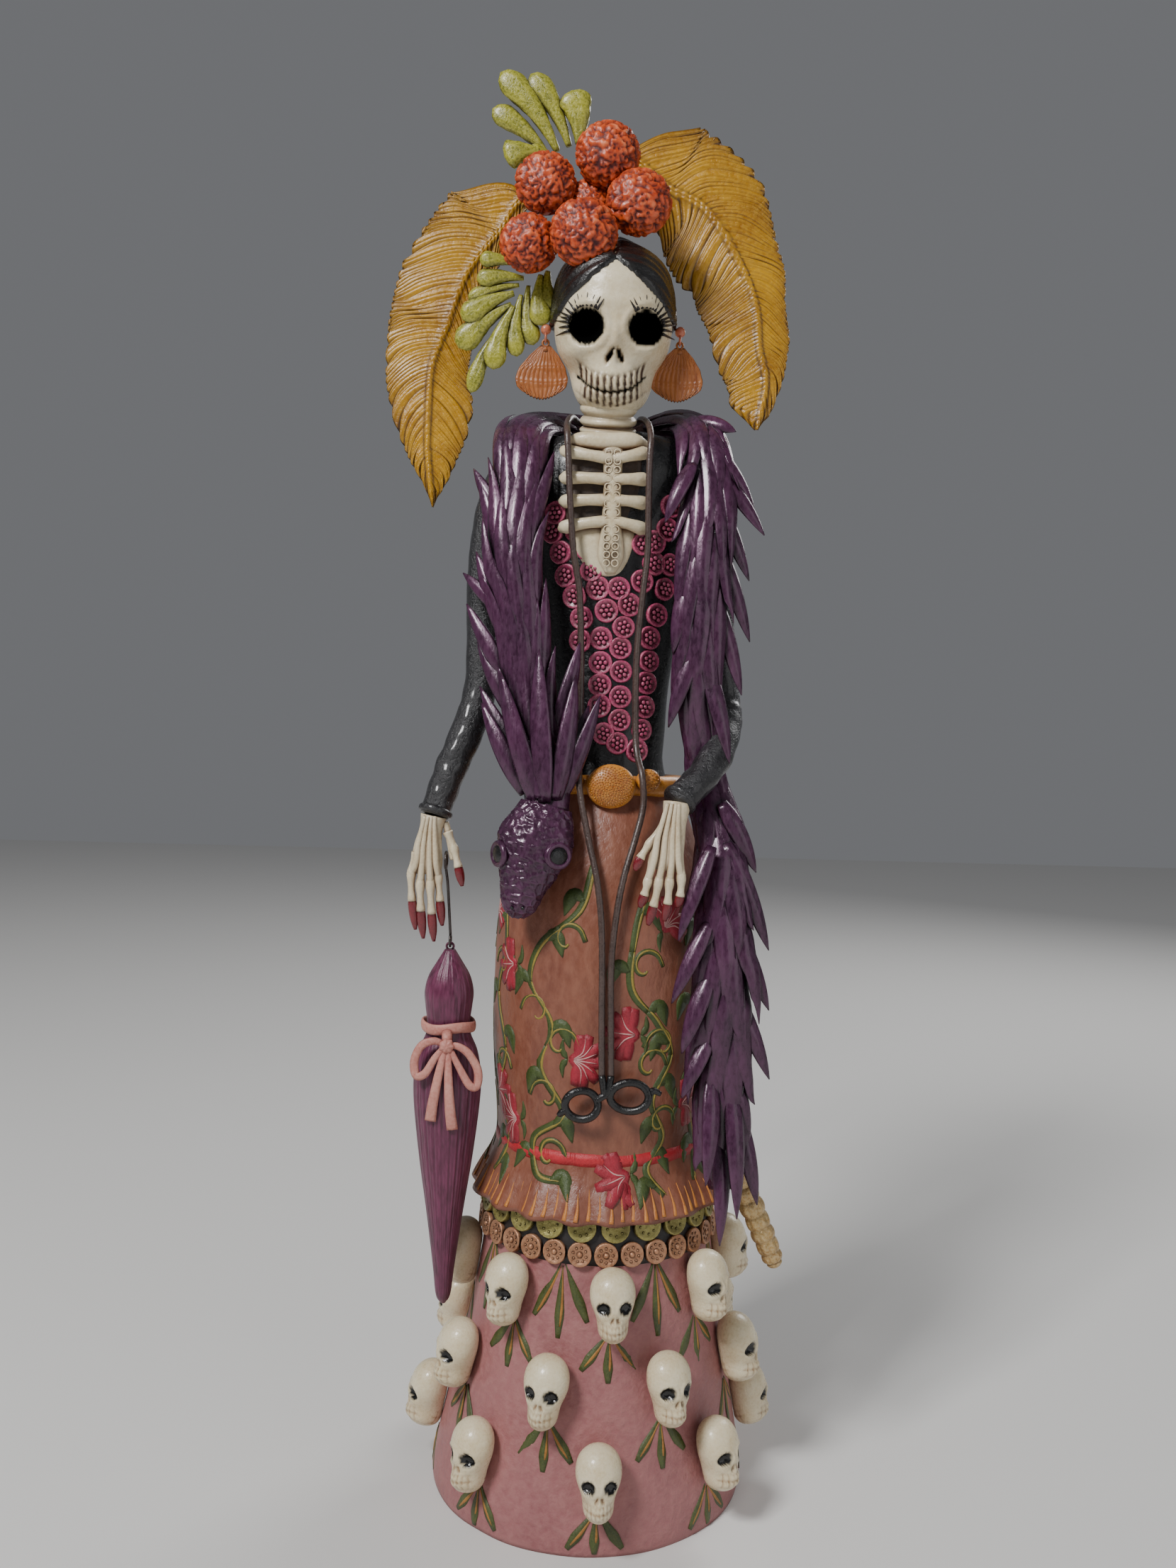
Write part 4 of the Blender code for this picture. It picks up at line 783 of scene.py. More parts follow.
def head_surface(ball, extra=0.0):
    """The head's plain form over a fine ball: across, up and forward for each point, and its front."""
    turn = np.arctan2(ball[:, 0], ball[:, 2])
    up = 1.5 + 36.0 * ball[:, 1]
    close = np.sqrt(1 - np.abs(ball[:, 1]) ** 9)
    wide = (np.interp(up, HEAD_PROFILE[:, 0], HEAD_PROFILE[:, 1]) + extra) * close
    deep = (np.interp(up, HEAD_PROFILE[:, 0], HEAD_PROFILE[:, 2]) + extra) * close
    ahead = np.interp(up, HEAD_PROFILE[:, 0], HEAD_PROFILE[:, 3])
    return wide * np.sin(turn), up + extra * ball[:, 1], deep * np.cos(turn) + ahead, turn


def head_places(across, up, ahead):
    return (np.array(HEAD_CENTRE) + np.outer(across, (1, 0, 0)) + np.outer(up, HEAD_UP)
            + np.outer(ahead, HEAD_FRONT))


head_bm = bmesh.new()
ball = ball_points(head_bm, 6)
x, up, ahead, turn = head_surface(ball)
front = np.clip(np.cos(turn) * 1.3, 0, 1)
rise = np.zeros(len(ball))
pinch = np.zeros(len(ball))
black = np.zeros(len(ball))
SOCKETS = ((-11.0, 2.0), (13.0, 1.7))
for socket_x, socket_up in SOCKETS:
    away = np.hypot((x - socket_x) / 7.9, (up - socket_up) / 7.7)
    rise -= 10.5 * (1 - edge_step(away, 0.25, 1.0))
    rise += 0.9 * np.exp(-((away - 1.14) / 0.13) ** 2)
    black = np.maximum(black, 1 - edge_step(away, 0.90, 0.97))
    side = 1 if socket_x > 0 else -1
    slit = blob(x + side * 0.46 * (up + 8.6), up, 0.7 + side * 1.9, -8.8, 1.0, 2.9, 4)
    rise -= 3.2 * slit
    black = np.maximum(black, edge_step(slit, 0.3, 0.5))
    rise += 1.6 * blob(x, up, socket_x * 1.0, socket_up + 9.6, 8.0, 2.6)
    rise += 2.6 * blob(x, up, side * 16.0, -7.6, 5.5, 3.6)
    hollow = blob(x, up, side * 16.0, -17.5, 5.0, 6.0)
    rise -= 2.6 * hollow
    pinch += 2.2 * hollow * side
rise += 2.0 * blob(x, up, 0.8, -2.0, 2.6, 6.0) + 1.4 * blob(x, up, 0.7, -8.6, 0.7, 3.4)
rise += 2.8 * blob(x, up, -0.4, -21.5, 13.5, 8.0, 3)
mouth = up + 23.2 - 0.026 * (x + 0.4) ** 2
inside = 1 - edge_step(np.abs(x + 0.4), 14.6, 15.8)
upper = edge_step(mouth, 0.0, 0.5) * (1 - edge_step(mouth, 5.6, 6.4)) * inside
lower = edge_step(-mouth, 0.0, 0.5) * (1 - edge_step(-mouth, 5.4, 6.2)) * (1 - edge_step(np.abs(x + 0.4), 12.6, 13.8))
tooth = np.abs(np.sin(math.pi * (x + 0.4) / 2.75))
slots = (1 - edge_step(tooth, 0.44, 0.72)) * np.maximum(upper, lower)
lips = np.exp(-(mouth / 0.72) ** 2) * (1 - edge_step(np.abs(x + 0.4), 14.8, 16.6))
rise += 0.8 * tooth ** 0.5 * np.maximum(upper, lower) - 0.9 * slots - 1.4 * lips
black = np.maximum(black, edge_step(lips, 0.35, 0.65))
glaze = np.clip(slots * 1.0 + 0.55 * np.exp(-((mouth - 6.6) / 0.5) ** 2) * inside
                + 0.4 * np.exp(-((mouth + 5.2) / 0.5) ** 2) * inside, 0, 1)
black[front < 0.15] = 0
glaze[front < 0.15] = 0
set_points(head_bm, head_places(x - pinch * front, up, ahead + rise * front))
head_gloss = painted("head_gloss", (0.76, 0.665, 0.46), (0.64, 0.52, 0.32), (0.87, 0.79, 0.61), 0.27,
                     scale=55, glaze_and_shade=(0.16, 0.07, 0.026), reach=0.005, hollows=1.1,
                     masks=(("glaze", (0.055, 0.022, 0.01), 0.4), ("black", (0.0015, 0.0015, 0.0015), 1.0)))
made = finish_piece("skull_head", head_bm, head_gloss, replaces=["head"])
give_mask(made, "black", black)
give_mask(made, "glaze", glaze)
lash_bm = bmesh.new()
for socket_x, socket_up in SOCKETS:
    outside = 1 if socket_x > 0 else -1
    for k in range(14):
        way = math.radians(90 - outside * (-34 + 10.5 * k + 2.5 * math.sin(5.0 * k)))
        run = []
        for reach in (7.4, 9.6, 12.2 + 0.8 * math.sin(3.0 * k)):
            along, height = socket_x + reach * math.cos(way), socket_up + reach * math.sin(way)
            wide, deep, forward = (np.interp(height, HEAD_PROFILE[:, 0], HEAD_PROFILE[:, c]) for c in (1, 2, 3))
            brow = 0.9 * math.exp(-((reach / 7.8 - 1.14) / 0.13) ** 2) + 1.0
            face = deep * math.sqrt(max(0.02, 1 - (along / wide) ** 2)) + forward + brow * (1 - abs(along) / 40)
            run.append(tuple(head_places([along], [height], [face])[0]))
        sweep(lash_bm, with_width(through(run, 7), (0.62, 0.46, 0.10), (0.7, 0.5, 0.25)), 8)
lash_black = painted("lash_black", (0.015, 0.012, 0.01), (0.008, 0.006, 0.006), (0.04, 0.03, 0.03), 0.4)
finish_piece("painted_lashes", lash_bm, lash_black)

# Hair: a close cap of black paste over the head, parted in the middle, combed into fine grooves
# down to the temples and varnished.
hair_bm = bmesh.new()
ball = ball_points(hair_bm, 6)
plain = head_places(*head_surface(ball)[:3])
hairline = plain[:, 2] - np.minimum(506 - 0.6 * (plain[:, 1] + 33.5), 506.5 - 0.80 * np.abs(plain[:, 0] - 0.1))
cover = edge_step(hairline, -0.7, 0.9)
x, up, ahead, turn = head_surface(ball, 1.0)
comb = np.arctan2(ahead, up + 2)
strand = np.sin(comb * 40 + 0.16 * x) * 0.30 + np.sin(comb * 15 - 0.05 * x) * 0.22
part = -1.3 * np.exp(-((plain[:, 0] + 0.2) / 0.8) ** 2) * (plain[:, 1] < 12)
thick = -15.0 + cover * (16.3 + strand + part + 0.35 * np.exp(-((hairline - 2.5) / 2.0) ** 2))
outward = plain - (np.array(HEAD_CENTRE))
outward /= np.linalg.norm(outward, axis=1)[:, None]
set_points(hair_bm, plain + outward * thick[:, None])
combed_black = painted("combed_black", (0.007, 0.006, 0.006), (0.003, 0.003, 0.003), (0.03, 0.025, 0.022), 0.26,
                       coat=0.4, scale=70, stretch=(0.3, 1.6, 1.6), bump=0.0002, speckle=0.25)
finish_piece("combed_hair", hair_bm, combed_black, replaces=["hair"])

# Belt: an amber clay roll round the waist, with a big round buckle like a sunflower head and a
# smaller disc beside it, both pressed all over with dots.
belt_bm = turned([(25.5, 294), (31.6, 293.6), (33.2, 296.0), (33.3, 299.6), (31.6, 301.6), (25.5, 301.8)],
                 96, (2.5, 0))
for vertex in belt_bm.verts:
    vertex.co.y *= 0.94
uneven_surface(belt_bm, 7, 0.5, 2.0)


def dotted_disc(bm, centre, radii, thick, out, dots):
    """A domed disc facing out, covered in small dots set in a sunflower's spiral."""
    turn_out = Vector(out).normalized().to_track_quat("Z", "Y").to_matrix().to_4x4()
    disc_bm = bmesh.new()
    bmesh.ops.create_uvsphere(disc_bm, u_segments=40, v_segments=20, radius=1)
    bmesh.ops.scale(disc_bm, vec=(*radii, thick), verts=disc_bm.verts)
    for k in range(dots):
        share = math.sqrt((k + 0.5) / dots)
        way = k * 2.39996
        dot = bmesh.ops.create_icosphere(disc_bm, subdivisions=1, radius=0.42)["verts"]
        bmesh.ops.translate(disc_bm, vec=(radii[0] * 0.9 * share * math.cos(way),
                                          radii[1] * 0.9 * share * math.sin(way),
                                          thick * math.sqrt(1 - (0.9 * share) ** 2)), verts=dot)
    disc_mesh = mesh_from(disc_bm, "disc")
    stamp(bm, disc_mesh, Matrix.Translation(centre) @ turn_out)


dotted_disc(belt_bm, (3.2, -33.4, 297.6), (10.0, 9.0), 4.4, (0, -1, 0.05), 210)
dotted_disc(belt_bm, (18.4, -28.9, 300.2), (5.2, 4.7), 2.6, (0.35, -1, 0), 34)
dotted_disc(belt_bm, (-12.4, -30.2, 299.6), (4.6, 4.2), 2.2, (-0.35, -1, 0), 30)
amber = painted("amber_stipple", (0.62, 0.22, 0.022), (0.38, 0.10, 0.012), (0.80, 0.42, 0.08), 0.34,
                coat=0.2, scale=120, glaze_and_shade=(0.14, 0.035, 0.01), reach=0.0018, hollows=1.6, speckle=0.5)
finish_piece("dotted_belt", belt_bm, amber, replaces=["belt"])

# Sleeves: two papier-mache arms in gloss black, bent at the elbow and creased towards the wrist,
# where each ends in a narrow rolled cuff.
SLEEVES = {
    "left": [(-30, 0, 436, 9.0, 9.0), (-41, 0, 429, 9.4, 9.4), (-49, -1, 410, 8.1, 8.1), (-52.1, -4, 384, 7.3, 7.3),
             (-52.2, -9, 340, 6.9, 6.9), (-56.7, -14, 320, 6.9, 6.9), (-64.0, -19, 300.6, 6.5, 6.5),
             (-69.2, -23.5, 283.5, 6.0, 6.0)],
    "right": [(33, 0, 436, 9.0, 9.0), (42, 0, 428, 9.4, 9.4), (46.5, -1, 410, 8.1, 8.1), (46.0, -2, 380, 7.5, 7.5),
              (49.5, -6, 340, 7.2, 7.2), (50.5, -13, 324, 7.3, 7.3), (43.5, -30, 307, 6.8, 6.8),
              (29.5, -44.5, 292.2, 6.2, 6.2)]}
leather_black = painted("crinkled_black", (0.018, 0.017, 0.019), (0.009, 0.009, 0.010), (0.055, 0.052, 0.055),
                        0.3, coat=0.45, scale=90, bump=0.0004, speckle=0.22)
for side, rows in SLEEVES.items():
    sleeve_bm = bmesh.new()
    offset = 3.0 if side == "left" else 11.0

    def creases(turn, t):
        wave = noise.noise(Vector((math.cos(turn) * 1.1, math.sin(turn) * 1.1, t * 26 + offset)))
        return 1 + wave * (0.04 + 0.10 * t ** 2)

    sweep(sleeve_bm, through(rows, 110), 36, shape=creases)
    end, before = Vector(rows[-1][:3]), Vector(rows[-2][:3])
    along = (end - before).normalized()
    cuff = [(*(end + along * d), 6.3 + g, 6.3 + g) for d, g in ((-3.4, 0.0), (-2.6, 0.8), (-1.2, 0.9), (-0.3, 0.1))]
    sweep(sleeve_bm, through(cuff, 10), 36)
    finish_piece(f"sleeve_{side}_creased", sleeve_bm, leather_black, replaces=[f"sleeve_{side}"])

# Hands: thin ivory skeleton hands of wired paste, with knuckles and long dark red nails. The
# thumb's web on the left hand is pierced for the umbrella's wire.
hand_ivory = painted("hand_ivory", (0.74, 0.63, 0.44), (0.60, 0.48, 0.30), (0.86, 0.78, 0.60), 0.34,
                     coat=0.25, scale=110, glaze_and_shade=(0.18, 0.08, 0.03), reach=0.0025, hollows=1.2)
nail_red = painted("nail_red", (0.17, 0.006, 0.014), (0.10, 0.004, 0.008), (0.30, 0.02, 0.03), 0.2,
                   coat=0.6, scale=150)
HANDS = {
    "left": ([[(-69.2, -24, 283.4, 5.5, 4.6), (-70.2, -24.1, 278, 4.7, 3.4), (-71.2, -24.3, 271, 5.6, 3.0),
               (-71.5, -24.4, 264, 6.3, 2.6), (-71.6, -24.4, 259.4, 5.6, 1.7)],
              [(-64.4, -24, 281, 1.4, 1.3), (-62.2, -24, 272.8, 1.5, 1.4), (-61.0, -24, 265.5, 1.2, 1.2)]],
             [[(-76.0, -24, 268), (-77.8, -25, 259.6), (-77.4, -25, 249), (-75.9, -24, 236.1)],
              [(-73.4, -24, 264), (-74.0, -26, 255), (-73.6, -25.6, 245), (-72.6, -24, 232.5)],
              [(-70.2, -24, 264), (-69.9, -26, 255), (-69.2, -25.6, 244), (-68.2, -24, 231.4)],
              [(-67.4, -23.6, 266), (-66.9, -24.6, 258), (-66.0, -24.8, 249), (-64.9, -24, 238.0)],
              [(-63.5, -24, 277), (-60.6, -24.6, 270), (-58.6, -26.0, 263), (-56.8, -26, 254.8)]]),
    "right": ([[(29.4, -44.7, 292.0, 5.6, 4.4), (28.4, -46, 285, 4.8, 3.4), (27.0, -47, 278, 5.7, 3.0),
                (25.4, -47.4, 270, 6.5, 2.7), (24.8, -47.4, 265.6, 5.9, 1.7)]],
              [[(30.2, -46.5, 277), (31.4, -48.6, 263), (31.2, -49, 256), (30.2, -48, 251)],
               [(27.6, -46.5, 270), (26.8, -49, 261), (26.4, -49, 253), (25.3, -48, 245.5)],
               [(24.0, -46.5, 270), (22.6, -49, 261), (20.9, -49, 252), (18.9, -48, 243.7)],
               [(20.4, -46.5, 270), (18.4, -48.6, 261), (17.2, -48.6, 256), (15.5, -48, 250.6)],
               [(25.4, -46, 285), (19.0, -47, 276), (15.4, -48, 270.5), (13.2, -48, 265.2)]])}
for side, (palms, fingers) in HANDS.items():
    hand_bm = bmesh.new()
    nails_bm = bmesh.new()
    for palm in palms:
        sweep(hand_bm, through(palm, 22), 24,
              shape=lambda turn, t: 1 + 0.10 * t * math.cos(4 * turn) * (math.cos(turn) > 0))
    back = fingers[:4]
    wrist = palms[0]
    for line in back:
        tendon = [(row[0] + share * (line[0][0] - row[0]), row[1] - row[4] * (0.96 - 0.12 * share), row[2])
                  for row, share in zip(wrist[:4], (0.45, 0.6, 0.8, 0.95))]
        sweep(hand_bm, with_width(through(tendon + [line[1]], 20), (0.9, 1.15, 1.5, 1.5)), 10)
    for line in fingers:
        run = through(line, 30)
        split = 21
        knuckles = [2.0 * (0.80 + 0.30 * abs(math.cos(math.pi * k / 10.0)) ** 3) * (1 - 0.008 * k)
                    for k in range(split)]
        sweep(hand_bm, with_width(run[:split], knuckles), 14)
        sweep(nails_bm, with_width(run[split - 3:], (1.2, 1.9, 1.95, 1.6, 0.7), (1.3, 1.6, 1.5, 1.1, 0.4)), 14)
    finish_piece(f"hand_{side}_bones", hand_bm, hand_ivory, replaces=[f"hand_{side}"])
    finish_piece(f"hand_{side}_nails", nails_bm, nail_red)

# Earrings: a coral bead at each temple with a wire hook, and a terracotta fan that swings on the
# hook. The fan is pressed into fine rays and has a scalloped foot.
coral_bead = painted("coral_bead", (0.60, 0.16, 0.07), (0.42, 0.08, 0.04), (0.75, 0.34, 0.2), 0.3, coat=0.3)
fan_clay = painted("fan_clay", (0.38, 0.112, 0.022), (0.24, 0.06, 0.013), (0.50, 0.20, 0.055), 0.36,
                   scale=110, stretch=(1.6, 1, 0.3), glaze_and_shade=(0.08, 0.022, 0.01), reach=0.002, hollows=1.5,
                   speckle=0.4)
for side, stud_x, stud_z, fan_x in (("left", -28.3, 487.0, -29.6), ("right", 27.8, 487.2, 26.8)):
    stud_bm = bmesh.new()
    bmesh.ops.create_uvsphere(stud_bm, u_segments=24, v_segments=14, radius=2.2)
    bmesh.ops.translate(stud_bm, vec=(stud_x, -9, stud_z), verts=stud_bm.verts)
    uneven_surface(stud_bm, 2.0, 0.12)
    sweep(stud_bm, [(stud_x, -9 + 2 * math.sin(a), stud_z - 3.5 + 2 * math.cos(a), 0.4, 0.4)
                    for a in np.linspace(0, 2 * math.pi, 25)[:24]], 8, facing=(1, 0, 0), closed=True)
    finish_piece(f"earring_bead_{side}", stud_bm, coral_bead, replaces=[f"earring_stud_{side}"])
    top = stud_z - 5.5
    fan_bm = bmesh.new()
    bmesh.ops.create_grid(fan_bm, x_segments=66, y_segments=26, size=1)
    for vertex in fan_bm.verts:
        across, down = vertex.co.x, (1 - vertex.co.y) / 2
        half = float(np.interp(down, (0, 0.2, 0.45, 0.68, 0.84, 0.94, 1.0), (2.0, 6.2, 9.7, 11.0, 10.4, 8.6, 7.0)))
        scallop = 0.55 * abs(math.sin(math.pi * 5.5 * across)) * edge_step(np.array(down), 0.8, 1.0)
        bow = 2.9 * across * across * down ** 3
        ray = 0.28 * math.cos(34 * across) * min(1, down * 4)
        ring = 0.3 * math.exp(-((down - 0.72) / 0.03) ** 2) + 0.3 * math.exp(-((down - 0.40) / 0.03) ** 2)
        centre = fan_x + (stud_x - fan_x) * max(0, 1 - 1.8 * down)
        vertex.co = (centre + half * across, -9.45 - ray * 0.55 - ring, top - 2.2 - 21.0 * down + bow - scallop)
    bmesh.ops.solidify(fan_bm, geom=fan_bm.faces[:], thickness=-1.1)
    sweep(fan_bm, [(stud_x + 1.25 * math.sin(a), -9, top - 0.1 + 1.4 * math.cos(a), 0.5, 0.62)
                   for a in np.linspace(0, 2 * math.pi, 25)[:24]], 8, closed=True)
    sweep(fan_bm, [(stud_x, -9, top - 1.5, 0.8, 0.7), (stud_x, -9.1, top - 3.6, 1.3, 0.8)], 8)
    finish_piece(f"earring_fan_{side}", fan_bm, fan_clay, body=f"earring_{side}",
                 replaces=[f"earring_drop_{side}"])

# Flowers: five full round blossoms of curled paste petals, glued to the hair. They are orange-red;
# painted shade darkens the creases between the curls, and a painted highlight lightens each
# curl's crest, most on top and at the front.
FLOWERS = (((-4.2, -16.0, 556.5), 13.6), ((-29.6, -15.0, 544.8), 12.9), ((8.9, -22.0, 535.0), 13.7),
           ((-13.1, -29.5, 519.6), 13.9), ((-35.6, -20.0, 518.4), 12.2), ((-11.5, -10.0, 538.5), 10.5))
petal_coral = painted("petal_coral", (0.64, 0.078, 0.012), (0.44, 0.038, 0.008), (0.78, 0.18, 0.05), 0.32,
                      scale=90, glaze_and_shade=(0.10, 0.012, 0.01), reach=0.0022, hollows=1.0,
                      masks=(("crease", (0.07, 0.006, 0.008), 0.55), ("crest_highlight", (0.84, 0.27, 0.12), 0.3)))
for number, (centre, radius) in enumerate(FLOWERS, 1):
    flower_bm = bmesh.new()
    ball = ball_points(flower_bm, 5)
    height = np.zeros(len(ball))
    for k, point in enumerate(ball):
        spot = Vector(point) * 3.7 + Vector((number * 4.7, 1.3, 0.2))
        warp = noise.noise_vector(spot * 0.9) * 0.75
        reach = noise.voronoi(spot + warp)[0]
        height[k] = reach[1] - reach[0]
    curl = edge_step(height, 0.0, 0.26)
    swell = 1.0 - 0.13 * (1 - curl)
    set_points(flower_bm, np.array(centre) + ball * np.array((1, 0.64, 1)) * radius * swell[:, None])
    made = finish_piece(f"blossom_{number}", flower_bm, petal_coral,
                        replaces=[f"flower_{number}"] if number < 6 else [])
    # The crease mask is painted shade: it darkens the deep creases between the curls to a near-black red.
    give_mask(made, "crease", 1 - edge_step(height, 0.03, 0.16))
    # The crest mask is a painted highlight: it lightens the crests of the curls, most on their tops and fronts.
    tip = edge_step(height, 0.40, 0.66) * np.clip(0.5 + 0.6 * ball[:, 2] - 0.3 * ball[:, 1], 0, 1) * 0.75
    give_mask(made, "crest_highlight", tip)

# Leaf sprays: drop-shaped olive leaves cut from paste, one spray above the flowers and one at
# their left. Each leaf is speckled lighter and has a groove for its vein.
leaf_olive = painted("leaf_olive", (0.27, 0.265, 0.014), (0.11, 0.12, 0.008), (0.62, 0.58, 0.10), 0.3,
                     coat=0.2, scale=120, glaze_and_shade=(0.03, 0.024, 0.006), reach=0.003, hollows=1.9, speckle=0.55)


def spray_leaf(bm, base, tip, width, y, round_tip=False):
    """A drop-shaped leaf from its stalk to its rounded tip, thick in the middle and grooved."""
    base, tip = Vector((base[0], y, base[1])), Vector((tip[0], y - 0.8, tip[1]))
    along = tip - base
    sag = Vector((along.z, 0, -along.x)).normalized() * along.length * 0.06
    shares = np.linspace(0, 1, 26)
    fullness = [0.24 + 0.78 * min(1.0, t / 0.78) ** 1.15 for t in shares]
    closing = np.sqrt(np.clip(1 - ((shares - 0.74) / 0.26).clip(0, 1) ** 2.2, 0.0009, 1))
    rows = []
    for t, full, close in zip(shares, fullness, closing):
        spot = base + along * t + sag * math.sin(math.pi * t)
        half = width / 2 * full * close
        rows.append((*spot, half, min(2.1, 0.7 + half * 0.30) * close + 0.04))
    sweep(bm, rows, 24, shape=lambda turn, t: 1 - 0.20 * math.exp(-(math.sin(turn) / 0.10) ** 2) * (t < 0.9)
          - 0.06 * math.cos(9 * turn + 20 * t))


top_bm = bmesh.new()
for base, tip, width, y in (
    ((-25.5, 563), (-50.0, 594.6), 11.2, -3.4), ((-20.6, 565.5), (-37.4, 594.6), 10.2, -2.6),
    ((-29.0, 561), (-53.2, 580.0), 9.6, -2.2), ((-16.5, 566), (-20.0, 587.8), 13.4, -3.6),
    ((-33.0, 562.5), (-47.6, 559.6), 12.0, -3.8), ((-24.0, 554), (-38.5, 563), 9.0, -2.4),
):
    spray_leaf(top_bm, base, tip, width, y)
finish_piece("top_leaves", top_bm, leaf_olive, replaces=["leaf_spray_top"])
side_bm = bmesh.new()
SIDE_LEAVES = (((-41, 513.5), (-56.5, 514.6), 6.8), ((-38, 508.0), (-57.6, 506.6), 7.8), ((-40, 505.5), (-61.0, 498.6), 6.8),
               ((-42, 501.5), (-63.2, 489.8), 9.8), ((-43, 497.0), (-64.6, 478.4), 10.8), ((-45, 490.6), (-59.2, 460.2), 7.0),
               ((-42, 496.0), (-50.0, 469.6), 9.4), ((-39, 501.0), (-40.2, 475.4), 7.6), ((-36, 505.2), (-33.4, 480.6), 8.2),
               ((-31, 509.2), (-29.6, 488.2), 9.2), ((-28, 511.1), (-27.4, 494.6), 9.6))
for number, (base, tip, width) in enumerate(SIDE_LEAVES):
    spray_leaf(side_bm, base, tip, width, -9.6 + 0.9 * (number % 3))
finish_piece("side_leaves", side_bm, leaf_olive, replaces=["leaf_spray_side"])

# Plumes: two great curved feathers cut from pressed card, ochre under varnish. Brown grooves are
# drawn along their barbs, which end in scallops, and a rounded rib stands along the middle.
feather_ochre = painted("feather_ochre", (0.50, 0.245, 0.004), (0.29, 0.118, 0.003), (0.66, 0.39, 0.02), 0.34,
                        coat=0.1, scale=55, bump=0.0002, glaze_and_shade=(0.07, 0.026, 0.006), reach=0.0026, hollows=1.7,
                        masks=(("groove", (0.060, 0.024, 0.005), 0.5),))
PLUMES = {
    "left": (6.0, [(-35, 545), (-42.4, 545.5), (-49.0, 534.6), (-55.1, 527), (-62.5, 516.9), (-67.3, 505.6),
                   (-70.8, 494.3), (-74.4, 485.4), (-77.4, 475.4), (-78.4, 462.8), (-78.7, 444), (-77.8, 431.5),
                   (-76.0, 416)],
             [(-34, 540), (-38, 547), (-44.5, 556.5), (-52.1, 559.3), (-58.3, 557.3), (-65.8, 552.8), (-73.2, 547.7),
              (-78.1, 540.1), (-83.6, 532.5), (-87.8, 525.0), (-92.1, 517.4), (-94.4, 507.4), (-96.4, 497.4),
              (-97.6, 483.0), (-97.5, 468.6), (-94.0, 452.4), (-86.1, 435.1), (-78.9, 423.9), (-76.6, 414.5),
              (-72.4, 415.3), (-73.2, 422.8), (-69.4, 426.7), (-67.0, 433.0), (-61.6, 445.7), (-58.7, 457.1),
              (-59.5, 463.3), (-62.1, 469.5), (-60.5, 482.0), (-54.7, 507.1), (-46.3, 526.0)]),
    "right": (5.0, [(3, 566), (11.3, 561.2), (22.3, 552.3), (35.8, 545.9), (44.8, 535.7), (53.0, 521.6),
                    (58.1, 511.3), (61.4, 499.8), (62.7, 485.5), (65.8, 471.2), (62.8, 452)],
              [(2, 566), (4.0, 574.6), (11.4, 579.7), (22.6, 581.8), (35.2, 579.0), (47.9, 570.7), (59.5, 559.9),
               (64.1, 552.6), (65.5, 546.5), (69.1, 531.7), (73.2, 519.4), (73.7, 503.3), (76.0, 489.7),
               (73.9, 474.7), (68.7, 459.6), (62.7, 449.5), (55.1, 451.8), (50.4, 461.7), (48.9, 470.4),
               (44.3, 477.8), (40.0, 493.8), (35.4, 501.2), (33.3, 508.6), (27.0, 512.1), (21.7, 520.7),
               (19.0, 530.0), (12, 545)])}


def reach_to(outline, start, way):
    """How far it is from a point to the outline in one direction."""
    best = 60.0
    for (x0, z0), (x1, z1) in zip(outline, outline[1:] + outline[:1]):
        side = np.array((x1 - x0, z1 - z0))
        against = way[0] * side[1] - way[1] * side[0]
        if abs(against) < 1e-9:
            continue
        gap = np.array((x0, z0)) - start
        t = (gap[0] * side[1] - gap[1] * side[0]) / against
        s = (gap[0] * way[1] - gap[1] * way[0]) / against
        if t > 0.05 and -1e-6 <= s <= 1 + 1e-6:
            best = min(best, t)
    return best


